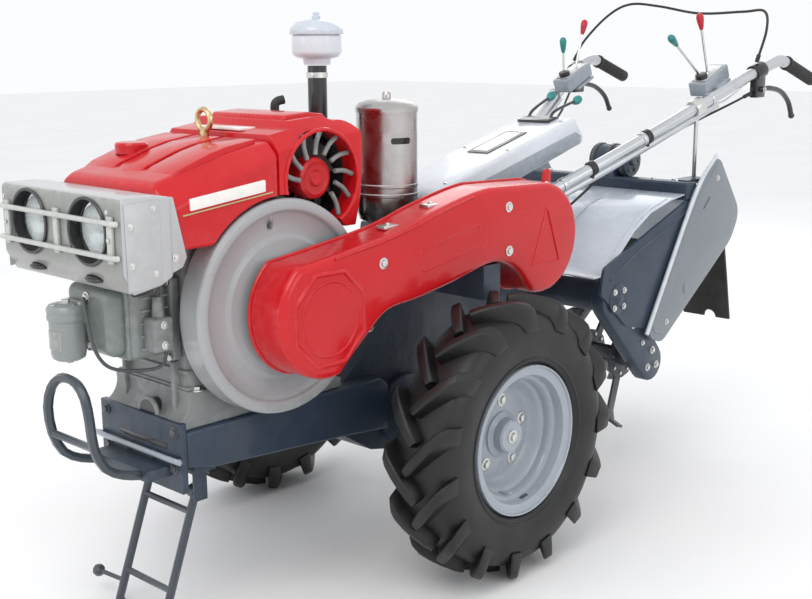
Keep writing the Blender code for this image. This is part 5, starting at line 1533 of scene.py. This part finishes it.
def make_console():
    finished(refined("console", CONSOLE_WHITE, 0.006, 4, keep=True), "console_cover",
             CONSOLE_WHITE, ["console"], slot="silver_paint")
    # dark strips on the console's side faces: painted shade of its shadowed sides
    sides = []
    for side in (1, -1):
        face = side * 0.0879
        a, b = sorted((face, face + side * 0.0014))
        edge = [(-0.360, 0.806), (-0.720, 0.906), (-0.728, 0.926), (-0.700, 0.938),
                (-0.360, 0.852), (-0.200, 0.812), (-0.190, 0.806)]
        sides.append(slab("panel", edge, a, b, 0.0006, 2))
    finished(sides, "console_side_shade_panels", SIDE_SHADE_AND_CASE_GREY)
    top = Vector((-0.150, 0.832)), Vector((-0.700, 0.980))
    run = (top[1] - top[0]).normalized()
    up = Vector((run.y, -run.x))
    for name, surface, start, end, half, lift in (
            ("label_edge", DARK_LABEL, 0.250, 0.420, 0.034, 0.0032),
            ("label_face", LABEL, 0.262, 0.408, 0.024, 0.0040)):
        near = top[0] + run * start
        far = top[0] + run * end
        outline = [tuple(near - up * 0.001), tuple(far - up * 0.001), tuple(far + up * lift),
                   tuple(near + up * lift)]
        plate = slab(name, outline, -half, half)
        finished(plate, f"console_{name}", surface,
                 slot="black_plastic" if surface is DARK_LABEL else "pale_paint")
    screws = []
    for share in (0.06, 0.50, 0.92):
        at = top[0] + run * 0.57 * share
        for side in (1, -1):
            screws.append(hex_bolt((at.x, side * 0.072, at.y - 0.0005), (up.x, 0, up.y), 0.0045))
    finished(screws, "console_screws", STEEL)


def make_cables():
    arch = [(-1.262, -0.3215, 1.118), (-1.270, -0.290, 1.180), (-1.290, -0.215, 1.258),
            (-1.300, -0.140, 1.292), (-1.300, -0.036, 1.284), (-1.300, 0.105, 1.260),
            (-1.300, 0.250, 1.262), (-1.298, 0.318, 1.262), (-1.285, 0.335, 1.210),
            (-1.262, 0.3215, 1.118)]
    pieces = [tube("arch", arch, 0.0038, 10, 4)]
    for at, way in ((arch[0], Vector(arch[1]) - Vector(arch[0])),
                    (arch[-1], Vector(arch[-2]) - Vector(arch[-1]))):
        start = Vector(at)
        pieces.append(rod("ferrule", start, start + way.normalized() * 0.022, 0.0062, sides=20,
                          rounding=0.001))
    finished(pieces, "control_cable_loop", RUBBER, ["control_cable"])
    for side, word in both_sides():
        run = on_side(side, [(-1.2433, 0.3185, 1.030), (-1.180, 0.288, 1.000),
                             (-1.050, 0.232, 0.945), (-0.800, 0.165, 0.850),
                             (-0.600, 0.125, 0.735), (-0.470, 0.095, 0.680),
                             (-0.3815, 0.080, 0.672)])
        cable = tube("cable", run, 0.0034, 10, 4)
        ends = [rod("ferrule", run[0], Vector(run[0]) + (Vector(run[1]) - Vector(run[0])) * 0.35,
                    0.0055, sides=20, rounding=0.001),
                rod("ferrule", run[-1], Vector(run[-1]) + (Vector(run[-2]) - Vector(run[-1])) * 0.3,
                    0.0055, sides=20, rounding=0.001)]
        finished([cable] + ends, f"clutch_cable_{word}_run", RUBBER, [f"clutch_cable_{word}"])
        link = on_side(side, [(-1.225, 0.312, 1.058), (-1.150, 0.287, 1.012),
                              (-1.080, 0.268, 1.000)])
        pieces = [tube("link", link, 0.0030, 8, 3)]
        at = along_bar(-1.080)
        at.y *= side
        pieces.append(rod("hanger", (at.x, at.y, at.z - BAR_R), (at.x, side * 0.268, 0.996),
                          0.0055, sides=20))
        finished(pieces, f"clutch_link_{word}", STEEL)


def make_handle_bracket():
    finished(refined("handle_bracket", STEEL, 0.004, 3, keep=True), "handle_bracket_block",
             BLUE_CAST, ["handle_bracket"])
    bolts = []
    for side in (1, -1):
        for x, z in ((-0.415, 0.737), (-0.415, 0.778), (-0.470, 0.737), (-0.470, 0.778)):
            bolts.append(hex_bolt((x, side * 0.1245, z), (0, side, 0), 0.0075))
    finished(bolts, "handle_bracket_bolts", STEEL)


# ---------------------------------------------------------------- tiller

ROTOR_X, ROTOR_Z = centre_of("rotor_spin")
SHIELD_FACE = 0.3266
DRUM = (-0.985, 0.838)


def shield_outline(inset=0.0):
    corners = [(-1.068, 0.866, 0.030), (-0.955, 0.772, 0.100), (-0.724, 0.396, 0.028),
               (-0.800, 0.368, 0.040), (-1.160, 0.612, 0.120), (-1.205, 0.690, 0.060)]
    middle = Vector((-0.985, 0.634))
    if not inset:
        return rounded(corners, 10)
    moved_in = []
    for x, z, r in corners:
        at = Vector((x, z)) + (middle - Vector((x, z))).normalized() * inset
        moved_in.append((at.x, at.y, max(r - inset * 0.4, 0.012)))
    return rounded(moved_in, 10)


def make_shields():
    for side, word in both_sides():
        low, high = sorted((side * 0.3086, side * (SHIELD_FACE - 0.0025)))
        plate = slab("plate", shield_outline(), low, high, 0.0030, 3, 60)
        low, high = sorted((side * (SHIELD_FACE - 0.0060), side * SHIELD_FACE))
        panel = slab("panel", shield_outline(0.020), low, high, 0.0040, 4, 60)
        slot = slab("slot", [(-0.990, 0.717), (-0.984, 0.722), (-1.016, 0.752), (-1.022, 0.747)],
                    *sorted((side * (SHIELD_FACE - 0.0040), side * (SHIELD_FACE + 0.01))))
        panel = cut(panel, slot)
        lug = ball("lug", (-0.905, side * SHIELD_FACE, 0.505), 0.011, (0.8, 0.35, 1.7), 32)
        finished([plate, panel, lug], f"side_shield_{word}_panel", SHIELD, [f"side_shield_{word}"])
        edge = [(-1.062, 0.8640), (-0.980, 0.796), (-0.905, 0.690), (-0.800, 0.520),
                (-0.728, 0.402)]
        rim = tube("rim", [(x, side * 0.3190, z) for x, z in edge], 0.0060, 8, 5)
        finished(rim, f"side_shield_{word}_rim", SHIELD_RIM)
        bolts = []
        for x, z in ((-1.060, 0.800), (-0.815, 0.425)):
            bolts.append(hex_bolt((x, side * (SHIELD_FACE - 0.0005), z), (0, side, 0), 0.0060))
        finished(bolts, f"side_shield_{word}_bolts", STEEL)


def make_side_frames():
    for side, word in both_sides():
        frame_piece = refined(f"side_frame_{word}", BLUE, 0.003, 3, keep=True)
        boss = spun("boss", [(0, 0.0), (0.040, 0.0), (0.040, 0.010), (0.036, 0.013),
                             (0.020, 0.013), (0.018, 0.017), (0, 0.017)], (0, 0, 0), "Z", 64)
        at = Vector((-0.600, side * 0.2995, 0.520))
        moved(boss, Matrix.Translation(at) @ turn_to((0, side, 0)))
        rib_points = [(-0.560, 0.575), (-0.700, 0.640), (-0.860, 0.690), (-0.945, 0.725)]
        rib = tube("rib", [(x, side * 0.3060, z) for x, z in rib_points], 0.0050, 6, 3)
        finished([frame_piece, boss, rib], f"side_frame_{word}_plate", BLUE,
                 [f"side_frame_{word}"])
        bolts = []
        for k in range(4):
            turn = pi / 4 + pi * k / 2
            at = (-0.600 + 0.030 * cos(turn), side * 0.3125, 0.520 + 0.030 * sin(turn))
            bolts.append(hex_bolt(at, (0, side, 0), 0.0060))
        for x, z in ((-0.790, 0.345), (-0.768, 0.300), (-0.812, 0.300)):
            bolts.append(hex_bolt((x, side * 0.3000, z), (0, side, 0), 0.0075))
        for x, z in ((-0.690, 0.430), (-0.650, 0.480), (-0.740, 0.375)):
            bolts.append(hex_bolt((x, side * 0.3003, z), (0, side, 0), 0.0055))
        finished(bolts, f"side_frame_{word}_bolts", STEEL)


def make_tiller_beam():
    finished(refined("tiller_beam", BLUE, 0.003, 3, keep=True), "tiller_beam_bar", BLUE,
             ["tiller_beam"])
    x, z = DRUM
    pieces = []
    for y in (-0.018, 0.030, 0.078):
        low, high = sorted((y - 0.006, y + 0.006))
        pieces.append(turned("hoop", [(0.0445, low), (0.0485, low + 0.001),
                                      (0.0485, high - 0.001), (0.0445, high)], x, z, 96))
    for k in range(6):
        turn = 2 * pi * k / 6
        at = (x + 0.030 * cos(turn), 0.0895, z + 0.030 * sin(turn))
        pieces.append(hex_bolt(at, (0, 1, 0), 0.0060))
    pieces.append(rod("plug", (x, 0.089, z), (x, 0.098, z), 0.014, sides=6, rounding=0.001))
    finished(pieces, "tiller_beam_drum_bolts", DARK_STEEL)
    bolts = []
    for side in (1, -1):
        for bolt_y in (0.180, 0.255):
            bolts.append(hex_bolt((-0.955, side * bolt_y, 0.7945), (0, 0, 1), 0.0075))
    finished(bolts, "tiller_beam_bolts", STEEL)


def make_tiller_hood():
    finished(refined("tiller_hood", SILVER, 0.0008, 2, 60, keep=True), "tiller_hood_sheet", SILVER,
             ["tiller_hood"])
    beads = []
    for run in ([(-0.560, 0.598), (-0.600, 0.6245), (-0.680, 0.6905), (-0.760, 0.7325),
                 (-0.860, 0.7565)],):
        for y in (-0.285, -0.095, 0.095, 0.285):
            beads.append(tube("bead", [(x, y, z) for x, z in run], 0.0032, 6, 3))
    finished(beads, "tiller_hood_beads", SILVER)


def make_rear_cover():
    finished(refined("rear_cover", SILVER, 0.0008, 2, 60, keep=True), "rear_cover_sheet", SILVER,
             ["rear_cover"], body="tiller_rear")
    low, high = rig.box("rear_flap")
    low, high = Vector(low) - ORIGIN, Vector(high) - ORIGIN
    flap = refined("rear_flap", RUBBER, 0.001, 2, keep=True)
    notches = []
    for k in range(5):
        y = -0.22 + 0.11 * k
        notches.append(rod("notch", (low.x - 0.1, y, low.z + 0.002),
                           (high.x + 0.1, y, low.z + 0.002), 0.020, sides=32))
    flap = cut(flap, *notches)
    finished(flap, "rear_flap_sheet", RUBBER, ["rear_flap"], body="tiller_rear")


def make_rotor():
    finished(refined("tine_rotor", TINE_STEEL, 0.0010, 2, 40, keep=True), "tine_rotor_steel",
             TINE_STEEL, ["tine_rotor"], body="rotor")
    bolts = []
    for k in range(5):
        y = (k - 2) * 0.1
        for j in range(8):
            turn = 2 * pi * j / 8 + 0.2
            at = Vector((ROTOR_X + 0.048 * cos(turn), y, ROTOR_Z + 0.048 * sin(turn)))
            for side in (1, -1):
                bolts.append(hex_bolt(at + Vector((0, side * 0.0035, 0)), (0, side, 0), 0.0055,
                                      washer=False))
    finished(bolts, "tine_rotor_bolts", STEEL, body="rotor")


# ---------------------------------------------------------------- transmission



def bolt_row(corners, y, side, size, spacing=0.085):
    """Bolts along an outline through x, z corners, on a face that looks left or right."""
    bolts = []
    for (xa, za), (xb, zb) in zip(corners, corners[1:] + corners[:1]):
        count = max(1, round(hypot(xb - xa, zb - za) / spacing))
        for k in range(count):
            t = k / count
            bolts.append(hex_bolt((xa + (xb - xa) * t, y, za + (zb - za) * t), (0, side, 0), size))
    return bolts


def make_gearbox():
    low, _ = node_box("gearbox")
    finished(refined("gearbox", BLUE_CAST, 0.004, 3, keep=True), "gearbox_casting", BLUE_CAST,
             ["gearbox"])
    cover = [(-0.22 + 0.075 * cos(a), 0.52 + 0.075 * sin(a))
             for a in (2 * pi * k / 8 for k in range(8))]
    bolts = [hex_bolt((x, low.y - 0.0002, z), (0, -1, 0), 0.0075) for x, z in cover]
    finished(bolts, "gearbox_cover_bolts", STEEL)


def make_timing_cover():
    low, _ = node_box("timing_cover")
    finished(refined("timing_cover", CAST, 0.0025, 3, keep=True), "timing_cover_casting", CAST,
             ["timing_cover"])
    edge = arc(0.52, 0.60, 0.088, -80, 80, 3) + arc(0.40, 0.63, 0.118, 100, 260, 4)
    bolts = [hex_bolt((x, low.y - 0.0002, z), (0, -1, 0), 0.0075) for x, z in edge]
    bolts.append(hex_bolt((0.455, low.y - 0.0002, 0.640), (0, -1, 0), 0.016))
    finished(bolts, "timing_cover_bolts", STEEL)


def make_tiller_case():
    finished(refined("tiller_case", BLUE_CAST, 0.004, 3, keep=True), "tiller_case_casting",
             BLUE_CAST, ["tiller_case"])
    bolts = []
    for side in (1, -1):
        corners = [(-0.400, 0.470), (-0.400, 0.570), (-0.540, 0.570), (-0.540, 0.470)]
        bolts += bolt_row(corners, side * 0.0700, side, 0.0070, 0.10)
    finished(bolts, "tiller_case_bolts", STEEL)


MAKERS = [make_tyres, make_rims, make_belt_cover, make_flywheel, make_tank, make_hood, make_fan,
          make_lamp_box, make_lamps, make_lamp_guard, make_fuel_filter, make_head, make_block,
          make_front_plate, make_lifting_eye, make_muffler, make_air_cleaner, make_pre_cleaner,
          make_handlebars, make_grips, make_clutch_levers, make_controls, make_gear_levers,
          make_console, make_cables, make_handle_bracket, make_shields, make_side_frames,
          make_tiller_beam, make_tiller_hood, make_rear_cover, make_rotor, make_gearbox,
          make_timing_cover, make_tiller_case]


def main():
    add_camera()
    add_stage()
    for maker in MAKERS:
        maker()
    for node, surface in PLAIN.items():
        refined(node, surface)
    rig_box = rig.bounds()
    with open("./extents.json", "w") as out:
        json.dump({"cad": [list(c) for c in CAD_BOX], "visual": [list(c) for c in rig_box]}, out)


main()
